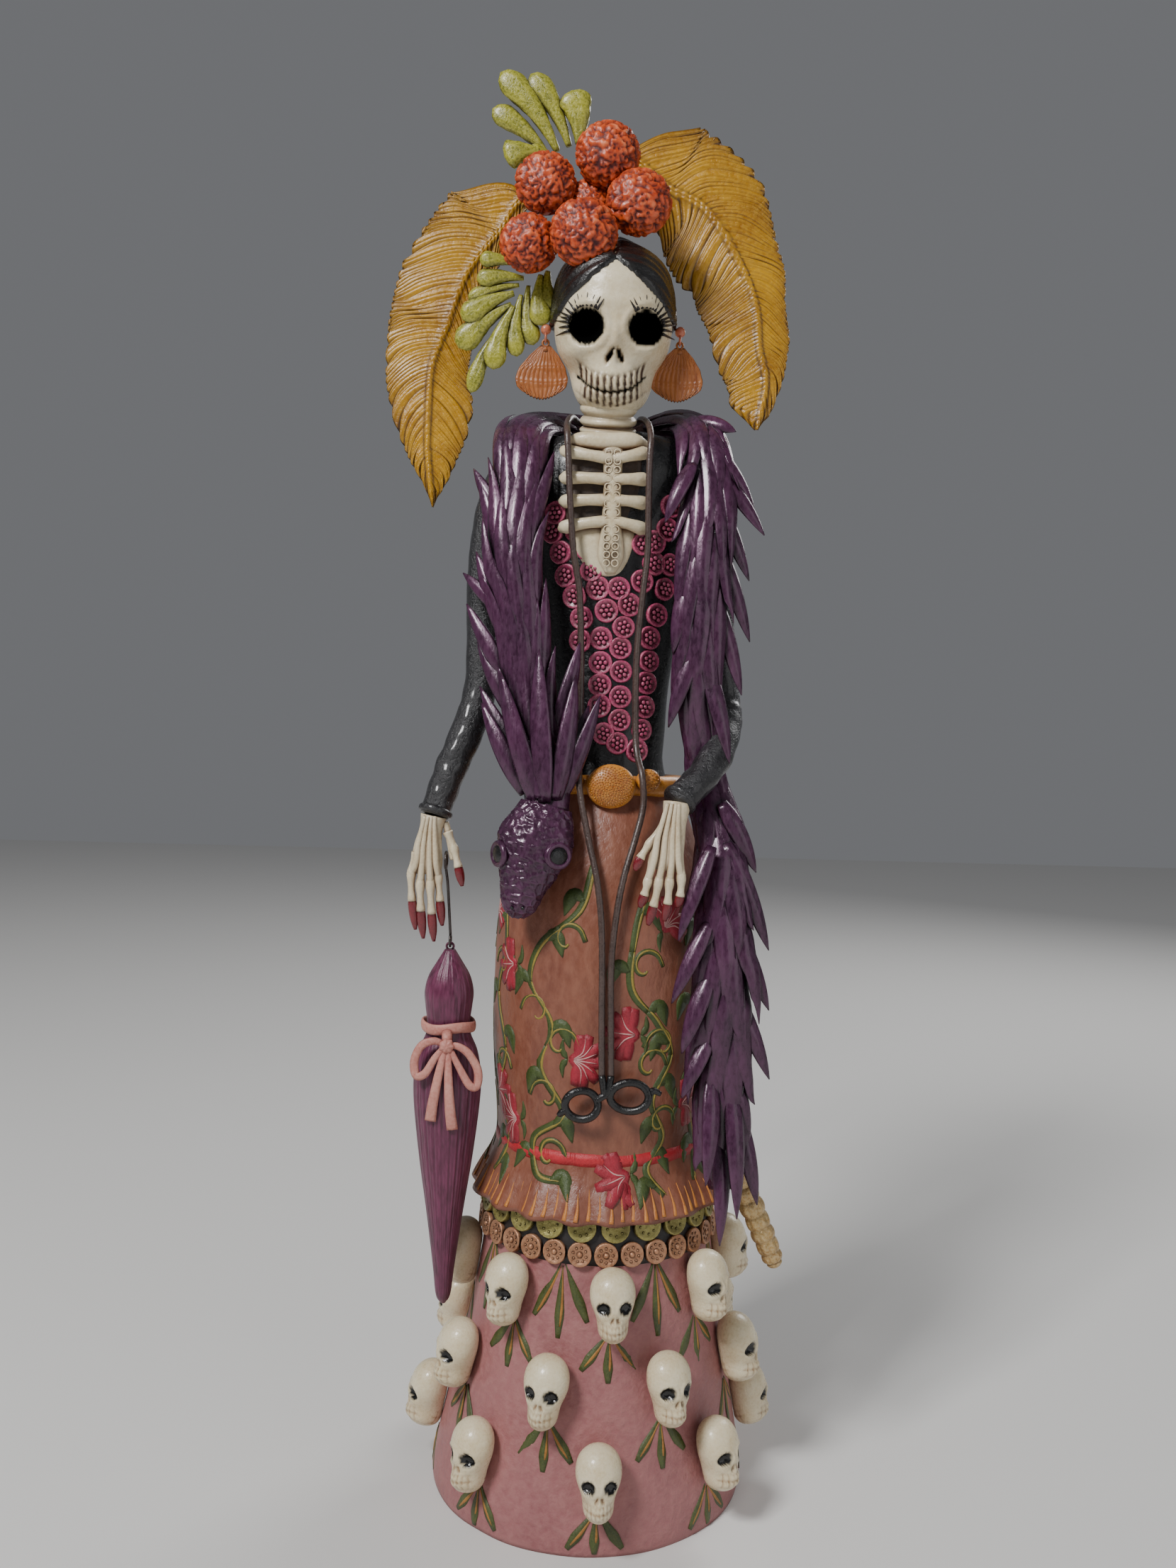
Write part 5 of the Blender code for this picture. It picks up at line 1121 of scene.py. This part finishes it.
for side, (plane, rib, outline) in PLUMES.items():
    rib_fine = through(rib, 201)
    ways = np.gradient(rib_fine, axis=0)
    ways /= np.linalg.norm(ways, axis=1)[:, None]
    normals = np.column_stack([ways[:, 1], -ways[:, 0]])
    reaches = {}
    for sign in (-1, 1):
        raw = np.array([reach_to(outline, rib_fine[k], normals[k] * sign) for k in range(201)])
        raw = np.minimum(raw, 34)
        reaches[sign] = np.convolve(np.pad(raw, 4, mode="edge"), np.ones(9) / 9, mode="valid")
        reaches[sign][-8:] *= np.linspace(1, 0.15, 8)
    plume_bm = bmesh.new()
    bmesh.ops.create_grid(plume_bm, x_segments=300, y_segments=48, size=1)
    grooves = []
    for vertex in plume_bm.verts:
        t, s = (vertex.co.x + 1) / 2, vertex.co.y
        slant = min(1.0, t + 0.15 * abs(s) ** 1.25 * (1 - t) ** 0.4)
        k = slant * 200
        low = min(199, int(k))
        part = k - low
        spot = rib_fine[low] * (1 - part) + rib_fine[low + 1] * part
        normal = normals[low] * (1 - part) + normals[low + 1] * part
        sign = 1 if s > 0 else -1
        wide = reaches[sign][low] * (1 - part) + reaches[sign][low + 1] * part
        barb = math.sin(math.pi * (t * 33 + 0.3 * sign + 0.35 * math.sin(t * 40)))
        edge = abs(s) ** 6
        wide *= 1 - 0.085 * edge * (1 - abs(barb)) - 0.01
        ridge = 0.9 * math.exp(-(s * wide / 1.5) ** 2)
        groove = math.exp(-(barb / 0.34) ** 2) * min(1, abs(s) * wide / 2.5)
        fine = 0.16 * math.sin(math.pi * t * 99 + 4 * s)
        grooves.append(groove * (0.75 + 0.25 * abs(s)) + 0.45 * edge + 0.8 * math.exp(-((abs(s) * wide - 1.5) / 0.5) ** 2))
        cup = 0.9 * (1 - abs(s) ** 2)
        place = spot + normal * s * sign * sign * wide
        vertex.co = (place[0], plane - 0.5 - cup - ridge + 0.75 * groove - fine, place[1])
    front_count = len(plume_bm.verts)
    bmesh.ops.solidify(plume_bm, geom=plume_bm.faces[:], thickness=1.6)
    sweep(plume_bm, with_width([(x0, plane + 1.2, z0) for x0, z0 in rib_fine[::4]], (1.3, 1.2, 0.9, 0.4),
                               (1.0, 1.0, 0.8, 0.4)), 10)
    total = len(plume_bm.verts)
    made = finish_piece(f"plume_{side}", plume_bm, feather_ochre, replaces=[f"feather_{side}"])
    values = np.zeros(total)
    values[:front_count] = np.clip(grooves, 0, 1)
    if total >= 2 * front_count:
        values[front_count:2 * front_count] = np.clip(grooves, 0, 1)
    give_mask(made, "groove", values)

# Neck cord: a dark brown cord modelled in paste over wire, hard and fixed like the rest. It hangs
# in two strands from the neck, which meet over the skirt and end at the spectacles.
LEFT_STRAND = [(2.2, -49.6, 182), (1.6, -49.8, 205), (1.2, -49.8, 228), (0.4, -49.0, 246),
               (-1.8, -46.7, 262), (-5.4, -42.7, 277), (-8.8, -39.2, 293), (-9.8, -36.5, 303),
               (-10.0, -26.0, 325), (-10.2, -24.8, 350), (-11.4, -24.8, 376), (-14.2, -25.0, 392),
               (-16.2, -25.6, 414), (-17.2, -25.2, 430), (-18.0, -23.4, 441), (-18.4, -16.0, 446.5),
               (-16.6, -5.0, 452.0), (-12.5, 8.0, 452.5)]
RIGHT_STRAND = [(5.8, -49.6, 182), (5.2, -49.8, 205), (4.8, -49.8, 228), (6.2, -48.6, 246),
                (8.9, -46.2, 262), (13.2, -41.7, 277), (16.2, -37.8, 290), (15.6, -35.8, 302),
                (13.0, -27.0, 316), (12.6, -24.8, 350), (14.4, -24.4, 376), (16.0, -24.0, 394),
                (15.8, -24.4, 414), (15.8, -24.4, 431), (16.2, -22.0, 440.5), (15.2, -15.0, 447.5),
                (12.8, -4.0, 452.0), (9.8, 8.0, 453)]
cord_bm = bmesh.new()
loop_line = LEFT_STRAND + [(-2.0, 12.0, 453)] + RIGHT_STRAND[::-1]
sweep(cord_bm, with_width(through(loop_line, 300), (1.35,)), 14,
      shape=lambda turn, t: 1 + 0.06 * math.cos(2 * turn + 900 * t))
cord_satin = painted("cord_satin", (0.062, 0.036, 0.030), (0.035, 0.02, 0.017), (0.13, 0.085, 0.07), 0.32,
                     coat=0.3, scale=140)
finish_piece("brown_neck_cord", cord_bm, cord_satin, replaces=["neck_cord"])

# Spectacles: a small wire pair covered in black paste, tied to the cord's ends, with two oval
# rims, a bowed bridge and short side pieces.
glasses_bm = bmesh.new()
for x0, y0, z0, half_wide, half_tall in ((-5.6, -50.4, 172.2, 6.5, 5.7), (13.2, -50.0, 175.8, 7.6, 5.7)):
    sweep(glasses_bm, [(x0 + half_wide * math.sin(a), y0 + 0.6 * math.sin(2 * a), z0 + half_tall * math.cos(a), 1.6, 1.5)
                       for a in np.linspace(0, 2 * math.pi, 49)[:48]], 14, closed=True)
for line in ([(0.2, -50.4, 174), (3.4, -50.6, 176.2), (6.4, -50.2, 175.6)],
             [(-11.6, -50.2, 170), (-13.4, -49.8, 168.8), (-14.6, -49.4, 167.6)],
             [(20.0, -49.8, 176), (22.6, -48.6, 178), (25.6, -47.8, 176.6)]):
    sweep(glasses_bm, with_width(through(line, 14), (1.5, 1.5, 1.0)), 12)
sweep(glasses_bm, with_width(through([(2.2, -50.0, 184), (2.9, -50.6, 179), (3.4, -50.8, 176)], 8), (1.5, 1.2)), 12)
sweep(glasses_bm, with_width(through([(5.8, -50.0, 184), (5.0, -50.6, 179), (4.0, -50.8, 176)], 8), (1.5, 1.2)), 12)
finish_piece("black_spectacles", glasses_bm, gloss_black, replaces=["spectacles"])

# Boa: a feathered serpent's body laid round the neck, aubergine with a pearl sheen. Long pointed
# leaves of paste overlap all along its core. They hang down on the right strand, and on the left
# they point up, away from the serpent's head.
BOA_LEFT = through([(-2.0, 21, 448, 6.5, 5.5), (-18, 19, 450, 8.0, 6.0), (-30, 9, 447, 10.0, 6.5),
                    (-37, -8, 438, 11.5, 7.0), (-38, -16.5, 418, 12.0, 6.5), (-38, -24, 395, 11.5, 6.0),
                    (-36, -26, 370, 11.0, 6.0), (-33, -27, 345, 10.5, 6.0), (-27.5, -31, 318, 11.0, 6.0),
                    (-23.0, -37, 300, 11.5, 6.0), (-22.0, -41, 287, 10.5, 6.0)], 90)
BOA_RIGHT = through([(2.0, 21, 448, 6.5, 5.5), (20, 18, 452, 8.0, 6.0), (33, 6, 449, 9.5, 6.5),
                     (39, -9, 438, 10.5, 6.5), (40, -17, 418, 11.0, 6.0), (39, -22, 395, 11.0, 6.0),
                     (38, -24, 370, 10.5, 6.0), (38, -24, 345, 9.5, 5.5), (40, -20, 320, 8.0, 5.0),
                     (43, -19, 302, 7.0, 4.5), (46.5, -26, 282, 8.5, 5.0), (48.5, -33, 260, 10.5, 5.5),
                     (49.5, -36.5, 235, 12.0, 6.0), (50.0, -37, 205, 12.5, 6.0), (50.0, -36, 175, 12.0, 5.5),
                     (51.0, -36, 150, 9.5, 5.0), (52, -38, 136, 6.0, 4.0)], 130)


def boa_leaf(bm, base, tip, width, outward=(0, -1, 0), swell=0.0):
    """A long pointed leaf with a raised middle and lengthwise grooves, bowed a little outwards."""
    base, tip, outward = Vector(base), Vector(tip), Vector(outward)
    rows = []
    for t in np.linspace(0, 1, 15):
        spot = base.lerp(tip, t) + outward * (swell * math.sin(math.pi * t) + 0.6 * (1 - t))
        half = width / 2 * (0.35 + 0.65 * math.sin(math.pi * min(1, t * 1.25 + 0.12)) if t < 0.31 else
                            (1 - ((t - 0.31) / 0.69) ** 2.0) ** 0.8)
        rows.append((*spot, max(half, 0.25), max(half * 0.42, 0.2)))
    sweep(bm, rows, 14, facing=outward, shape=lambda turn, t: 0.74 + 0.26 * abs(math.sin(turn)) ** 2
          + 0.42 * math.exp(-(math.sin(turn) / 0.3) ** 2) * (math.cos(turn) > 0) * (t < 0.95))


def strand_leaves(bm, strand, starts, reach, width, step):
    """Long keeled leaves laid along a strand like feathers; the outer lanes splay at their tips."""
    spots = [Vector(row[:3]) for row in strand]
    last = len(strand) - 1
    for order, k in enumerate(starts):
        for lane in ((-1.0, 0.0, 1.0) if order % 2 else (-0.55, 0.55)):
            length = reach * (1 + 0.25 * noise.noise((k * 0.7, lane * 3, 0)))
            points, faces = [], []
            for t in np.linspace(0, 1, 12):
                exact = k + step * length * t
                j = min(last, max(0, int(round(exact))))
                along = (spots[min(last, j + 2)] - spots[max(0, j - 2)]).normalized()
                front = Vector((0, -1, 0.9 * edge_step(spots[j].z, 428, 446)))
                front = (front - along * front.dot(along)).normalized()
                across = along.cross(front)
                beyond = along * step * max(0.0, abs(exact - j) - 0.5) * 2.0
                wave = 1.6 * math.sin(5 * t + k)
                points.append(spots[j] + beyond + across * (lane * strand[j][3] * (0.52 + 0.62 * t ** 1.8) + wave * t)
                              + front * (strand[j][4] * (0.80 - 0.34 * abs(lane) ** 2) + 1.0 + 1.5 * math.sin(math.pi * t)
                                         + 1.6 * t * t))
                faces.append(tuple(front + across * lane * 0.45))
            smooth = through([tuple(p) for p in points], 18)
            rows = []
            for t, spot in zip(np.linspace(0, 1, 18), smooth):
                half = width / 2 * ((0.45 + 0.55 * math.sin(math.pi * min(0.5, t * 1.5))) if t < 0.34
                                    else (1 - ((t - 0.34) / 0.66) ** 1.9) ** 0.85)
                rows.append((*spot, max(half, 0.2), max(half * 0.40, 0.18)))
            sweep(bm, rows, 14, facing=faces[6],
                  shape=lambda turn, t: 0.74 + 0.26 * abs(math.sin(turn)) ** 2
                  + 0.42 * math.exp(-(math.sin(turn) / 0.3) ** 2) * (math.cos(turn) > 0) * (t < 0.95))


# The boa's near-black hollow colour is painted shade, darkening the gaps between its leaves.
boa_paint = painted("boa_pearl", (0.075, 0.017, 0.055), (0.030, 0.007, 0.024), (0.17, 0.06, 0.14), 0.3,
                    coat=0.3, scale=60, stretch=(1.2, 1.2, 0.5), glaze_and_shade=(0.006, 0.002, 0.005), reach=0.0045,
                    hollows=2.3, speckle=0.35, metallic=0.2)
left_bm = bmesh.new()
sweep(left_bm, BOA_LEFT * np.array((1, 1, 1, 0.80, 0.82)), 28, shape=lambda turn, t: 1 + 0.07 * math.cos(11 * turn + 6 * t))
strand_leaves(left_bm, BOA_LEFT, range(86, 8, -5), 21, 7.6, -1)
for base, tip, width in (
    ((-40, -22, 385), (-54.5, -14, 425), 8), ((-38, -24, 395), (-48, -13, 433), 8),
    ((-38, -26, 352), (-54.5, -20, 392.5), 8), ((-36, -28, 335), (-58, -20, 371), 8),
    ((-34, -29, 322), (-53, -22, 355.5), 8), ((-30, -32, 300), (-51.5, -24, 337), 8),
    ((-30, -32, 310), (-40, -30, 352), 8.5), ((-20, -34, 318), (-10.8, -30, 355.5), 7.5),
    ((-17, -39, 300), (-6.5, -33, 330), 7.5), ((-41, -18, 402), (-57, -12, 428), 7),
    ((-38, -26, 365), (-60, -17, 384), 7), ((-26, -42, 290), (-42, -37, 342), 9), ((-23, -44, 291), (-27, -38, 352), 9.5),
    ((-19, -43, 292), (-12, -37, 342), 8.5), ((-17, -40, 292), (-2, -37, 334), 7), ((-31, -38, 294), (-50, -31, 330), 8),
):
    boa_leaf(left_bm, base, tip, width, (-0.3 if tip[0] < -20 else 0.3, -1, 0), 2.0)
finish_piece("boa_left_strand", left_bm, boa_paint, replaces=["boa_left"])
right_bm = bmesh.new()
sweep(right_bm, BOA_RIGHT * np.array((1, 1, 1, 0.80, 0.82)), 28,
      shape=lambda turn, t: 1 + 0.07 * math.cos(11 * turn + 8 * t))
strand_leaves(right_bm, BOA_RIGHT, range(6, 64, 5), 20, 7.6, 1)
strand_leaves(right_bm, BOA_RIGHT, range(64, 118, 5), 15, 9.6, 1)
for base, tip, width in (
    ((35, -4, 452), (52, -12, 446), 7), ((40, -16, 440), (60, -18, 412), 8),
    ((42, -18, 430), (64, -20, 402), 7), ((40, -22, 420), (58, -22, 383), 8),
    ((42, -24, 400), (59, -22, 358), 8), ((42, -24, 378), (56, -24, 336), 8),
    ((40, -26, 350), (51, -32, 308), 8), ((34, -22, 430), (22.5, -28, 405), 7),
    ((34, -26, 385), (27, -30, 352), 8), ((38, -27, 360), (26, -30, 322), 8),
    ((48, -32, 292), (63, -32, 264), 8), ((50, -36, 276), (68.5, -36, 233), 8),
    ((52, -38, 245), (69, -38, 209), 8), ((52, -38, 220), (70, -38, 181), 8),
    ((44, -42, 275), (31, -49, 238), 7), ((44, -42, 245), (29, -48.6, 213), 7),
    ((45, -42, 225), (33.5, -48, 193), 8), ((46, -41, 200), (34, -47.6, 175), 7),
    ((52, -38, 190), (62.5, -40, 157), 8), ((50, -38, 165), (50.5, -50, 117), 8),
    ((56, -36, 170), (66, -42, 131), 8), ((46, -42, 182), (44, -53, 142), 8), ((54, -40, 180), (57, -50, 128), 8),
):
    boa_leaf(right_bm, base, tip, width, (0.3 if tip[0] > 40 else -0.3, -1, 0), 2.0)
finish_piece("boa_right_strand", right_bm, boa_paint, replaces=["boa_right"])

# Serpent's head: it ends the boa's left strand over the skirt, snout down, with rows of curved
# scales, a black eye on each side, nostrils and a long closed mouth. Each eye's black is partly
# paint and partly painted shade, in place of a dark hollow socket.
serpent_bm = bmesh.new()
SERPENT = through([(-22.5, -42.5, 289.5, 10.0, 6.0), (-24.0, -43.5, 283.0, 12.8, 8.6), (-26.2, -44.6, 275.5, 15.1, 10.2),
                   (-28.6, -45.2, 266.5, 13.4, 9.8), (-30.8, -46.2, 257.5, 9.6, 8.4), (-32.2, -47.0, 249.5, 7.0, 6.6),
                   (-32.7, -47.2, 245.6, 2.6, 2.6)], 150)


sweep(serpent_bm, SERPENT, 96, shape=lambda turn, t: 1 - 0.09 * (t > 0.4) * math.exp(
    -((abs(math.sin(turn)) - 0.97) / 0.05) ** 2))
serpent_bm.normal_update()
for vertex in serpent_bm.verts:
    reach = noise.voronoi(Vector((vertex.co.x, vertex.co.y, vertex.co.z * 0.85)) / 3.1)[0]
    plate_edge = min(1.0, (reach[1] - reach[0]) / 0.30)
    vertex.co += vertex.normal * (0.75 * plate_edge - 0.55)
finish_piece("serpent_head_scaled", serpent_bm, boa_paint, replaces=["serpent_head"])
eyes_bm = bmesh.new()
lids_bm = bmesh.new()
# Each eye is a raised black lens where the real eye is a dark hollow: its black is partly paint and partly painted
# shade.
for x0, y0, z0, out in ((-40.3, -48.9, 270.5, (-0.87, -0.5, 0.0)), (-17.2, -52.4, 270.6, (0.55, -0.83, 0.05))):
    face = Vector(out).normalized().to_track_quat("Z", "Y").to_matrix()
    ball = bmesh.ops.create_uvsphere(eyes_bm, u_segments=28, v_segments=16, radius=1)["verts"]
    bmesh.ops.scale(eyes_bm, vec=(4.6, 3.9, 1.9), verts=ball)
    bmesh.ops.rotate(eyes_bm, matrix=face, verts=ball)
    bmesh.ops.translate(eyes_bm, vec=(x0, y0, z0), verts=ball)
    ring = [Vector((x0, y0, z0)) + face @ Vector((4.9 * math.cos(a), 4.3 * math.sin(a), 0.2))
            for a in np.linspace(0, 2 * math.pi, 33)[:32]]
    sweep(lids_bm, with_width(ring, (1.25,)), 12, facing=out, closed=True)
for x0 in (-34.6, -30.4):
    ball = bmesh.ops.create_uvsphere(eyes_bm, u_segments=12, v_segments=8, radius=0.75)["verts"]
    bmesh.ops.translate(eyes_bm, vec=(x0, -53.6, 250.0), verts=ball)
finish_piece("serpent_eyes", eyes_bm, gloss_black)
finish_piece("serpent_eyelids", lids_bm, boa_paint)

# Rattle: the serpent's tail, a tapering row of gold beads over cream, like a maize cob, that ends
# the boa's right strand beside the skirt.
rattle_bm = bmesh.new()
RATTLE = through([(56, -24, 152, 4.0, 4.0), (59, -25, 143, 4.6, 4.6), (62, -26, 134, 4.9, 4.9), (65.5, -27, 126, 4.9, 4.9),
                  (69, -27.5, 118, 4.7, 4.7), (72, -28, 111, 4.5, 4.5), (75, -28, 104, 3.9, 3.9),
                  (76.4, -28, 100.6, 2.2, 2.2)], 140)
sweep(rattle_bm, RATTLE, 48, shape=lambda turn, t: 0.86 + 0.24 * abs(math.sin(math.pi * 10 * t)) ** 0.5
      * (0.55 + 0.45 * abs(math.cos(4 * turn + math.pi / 2 * (int(10 * t) % 2))) ** 0.6))
rattle_gold = painted("rattle_gold", (0.56, 0.36, 0.13), (0.38, 0.21, 0.06), (0.80, 0.66, 0.40), 0.3,
                      coat=0.2, scale=110, glaze_and_shade=(0.08, 0.03, 0.01), reach=0.0026, hollows=2.2, speckle=0.5, metallic=0.4)
finish_piece("serpent_rattle_cob", rattle_bm, rattle_gold, replaces=["serpent_rattle"])

# Umbrella: it hangs closed from the left hand's web on a bent steel wire, whose eye swings in the
# hand. Its lower eye holds a tab on top of the canopy, which swings sideways.
wire_bm = bmesh.new()
eye_centre, low_centre = 265.1, 232.0
sweep(wire_bm, with_width(through([(-63.8, -24, 261.8), (-62.8, -24, 254), (-61.4, -24, 234.3)], 24), (0.58,)), 12)
for x0, z0, radius, wire in ((-63.8, eye_centre, 3.4, 0.58), (-61.4, low_centre, 2.4, 0.48)):
    sweep(wire_bm, [(x0, -24 + radius * math.sin(a), z0 + radius * math.cos(a), wire, wire)
                    for a in np.linspace(0, 2 * math.pi, 37)[:36]], 12, facing=(1, 0, 0), closed=True)
wire_steel = painted("wire_steel", (0.10, 0.09, 0.085), (0.06, 0.05, 0.05), (0.2, 0.18, 0.17), 0.34, scale=200,
                     metallic=1.0)
finish_piece("umbrella_hanger", wire_bm, wire_steel, body="wire", replaces=["umbrella_wire"])

# Canopy: a rolled umbrella of papier-mache, gathered at the neck, with fine upright pleats pressed
# in and wine-coloured paint, satin.
canopy_bm = bmesh.new()
CANOPY = through([(-61.4, -24, 80.2, 1.0, 1.0), (-61.4, -24, 84.0, 3.0, 3.0), (-61.4, -24, 96.0, 4.4, 4.4),
                  (-61.4, -24, 118.0, 7.3, 7.3), (-61.4, -24, 142.0, 10.8, 10.8), (-61.4, -24, 164.0, 13.3, 13.3),
                  (-61.4, -24, 176.0, 13.6, 13.6), (-61.4, -24, 186.0, 12.0, 12.0), (-61.4, -24, 193.0, 9.2, 9.2),
                  (-61.4, -24, 198.0, 8.6, 8.6), (-61.4, -24, 205.0, 9.4, 9.4), (-61.4, -24, 211.0, 9.8, 9.8),
                  (-61.4, -24, 217.5, 8.3, 8.3), (-61.4, -24, 223.5, 5.0, 5.0), (-61.4, -24, 228.4, 2.1, 2.1)], 110)
sweep(canopy_bm, CANOPY[::-1], 132, shape=lambda turn, t: 1 + 0.038 * abs(math.cos(11 * turn + 1.6 * t)) ** 0.5
      + 0.016 * math.cos(44 * turn + 2 * t) - 0.02)
for a0, a1 in ((0.25, 6.03),):
    tab = [(-61.4 + 1.45 * math.sin(a), -24, 229.6 + 1.45 * math.cos(a), 0.5, 0.7)
           for a in np.linspace(0, 2 * math.pi, 31)[:30]]
    sweep(canopy_bm, tab, 10, closed=True)
wine_satin = painted("wine_satin", (0.115, 0.012, 0.048), (0.055, 0.006, 0.024), (0.26, 0.05, 0.13), 0.36,
                     scale=60, stretch=(1.4, 1.4, 0.25), glaze_and_shade=(0.025, 0.004, 0.01), reach=0.003, hollows=1.6,
                     speckle=0.5, sheen=0.2)
finish_piece("umbrella_pleats", canopy_bm, wine_satin, body="umbrella", replaces=["umbrella_canopy"])

# Bow: a flat strip of salmon paste tied round the canopy's neck, with two loops, two tails with
# cut ends and a knot, all pressed while soft.
bow_bm = bmesh.new()
BOW_Y = -38.6
sweep(bow_bm, [(-61.4 + 10.6 * math.sin(a), -24 - 10.6 * math.cos(a), 197.2 + 0.5 * math.sin(3 * a), 2.2, 0.8)
               for a in np.linspace(0, 2 * math.pi, 65)[:64]], 12, closed=True,
      facing=[(math.sin(a), -math.cos(a), 0) for a in np.linspace(0, 2 * math.pi, 65)[:64]])
for points in ([(-61.5, 1.0, 191.8), (-65.6, 0.2, 193.4), (-70.6, 0.2, 191.4), (-73.4, 0.6, 185.4), (-72.6, 0.2, 179.4),
                (-69.0, -0.4, 180.2), (-65.2, -0.2, 186.4), (-62.0, 0.2, 190.4)],
               [(-59.5, 1.0, 191.4), (-55.8, 0.2, 191.4), (-51.4, 0.2, 188.4), (-47.8, 0.6, 181.8), (-47.9, 0.2, 175.8),
                (-50.8, -0.4, 175.8), (-55.0, -0.2, 182.6), (-58.8, 0.2, 189.6)]):
    line = through([(x0, BOW_Y + y0, z0) for x0, y0, z0 in points], 44)
    sweep(bow_bm, with_width(line, (1.2, 1.7, 1.8, 1.7, 1.2), (0.75,)), 12,
          shape=lambda turn, t: 1 + 0.10 * math.cos(6 * turn))
for points in ([(-61.2, 0.4, 190.5), (-63.4, -0.8, 180), (-65.6, -0.2, 168), (-66.6, 1.2, 160.6)],
               [(-59.9, 0.4, 190.5), (-59.4, -0.8, 178), (-58.6, -0.2, 166), (-57.6, 1.2, 157.2)]):
    line = through([(x0, BOW_Y + y0, z0) for x0, y0, z0 in points], 30)
    sweep(bow_bm, with_width(line, (1.2, 1.8, 2.2, 2.4), (0.7, 0.7, 0.55)), 12,
          shape=lambda turn, t: 1 + 0.10 * math.cos(6 * turn))
ball = bmesh.ops.create_icosphere(bow_bm, subdivisions=4, radius=1)["verts"]
for vertex in ball:
    crease = 1 - 0.16 * abs(math.sin(3.5 * math.atan2(vertex.co.z, vertex.co.x)))
    vertex.co = Vector((vertex.co.x * 3.4, vertex.co.y * 2.3, vertex.co.z * 3.3)) * crease
    vertex.co += Vector((-60.5, BOW_Y + 0.2, 191.4))
sweep(bow_bm, with_width([(-60.8, -34.6, 196.0), (-60.6, -36.6, 194), (-60.5, BOW_Y + 1.2, 192)], (2.2, 2.0)), 12,
      facing=(1, 0, 0))
salmon_matt = painted("salmon_matt", (0.60, 0.25, 0.20), (0.45, 0.15, 0.12), (0.76, 0.44, 0.36), 0.5,
                      scale=90, glaze_and_shade=(0.28, 0.07, 0.06), reach=0.002, hollows=1.3)
finish_piece("umbrella_bow_tied", bow_bm, salmon_matt, body="umbrella", replaces=["umbrella_bow"])
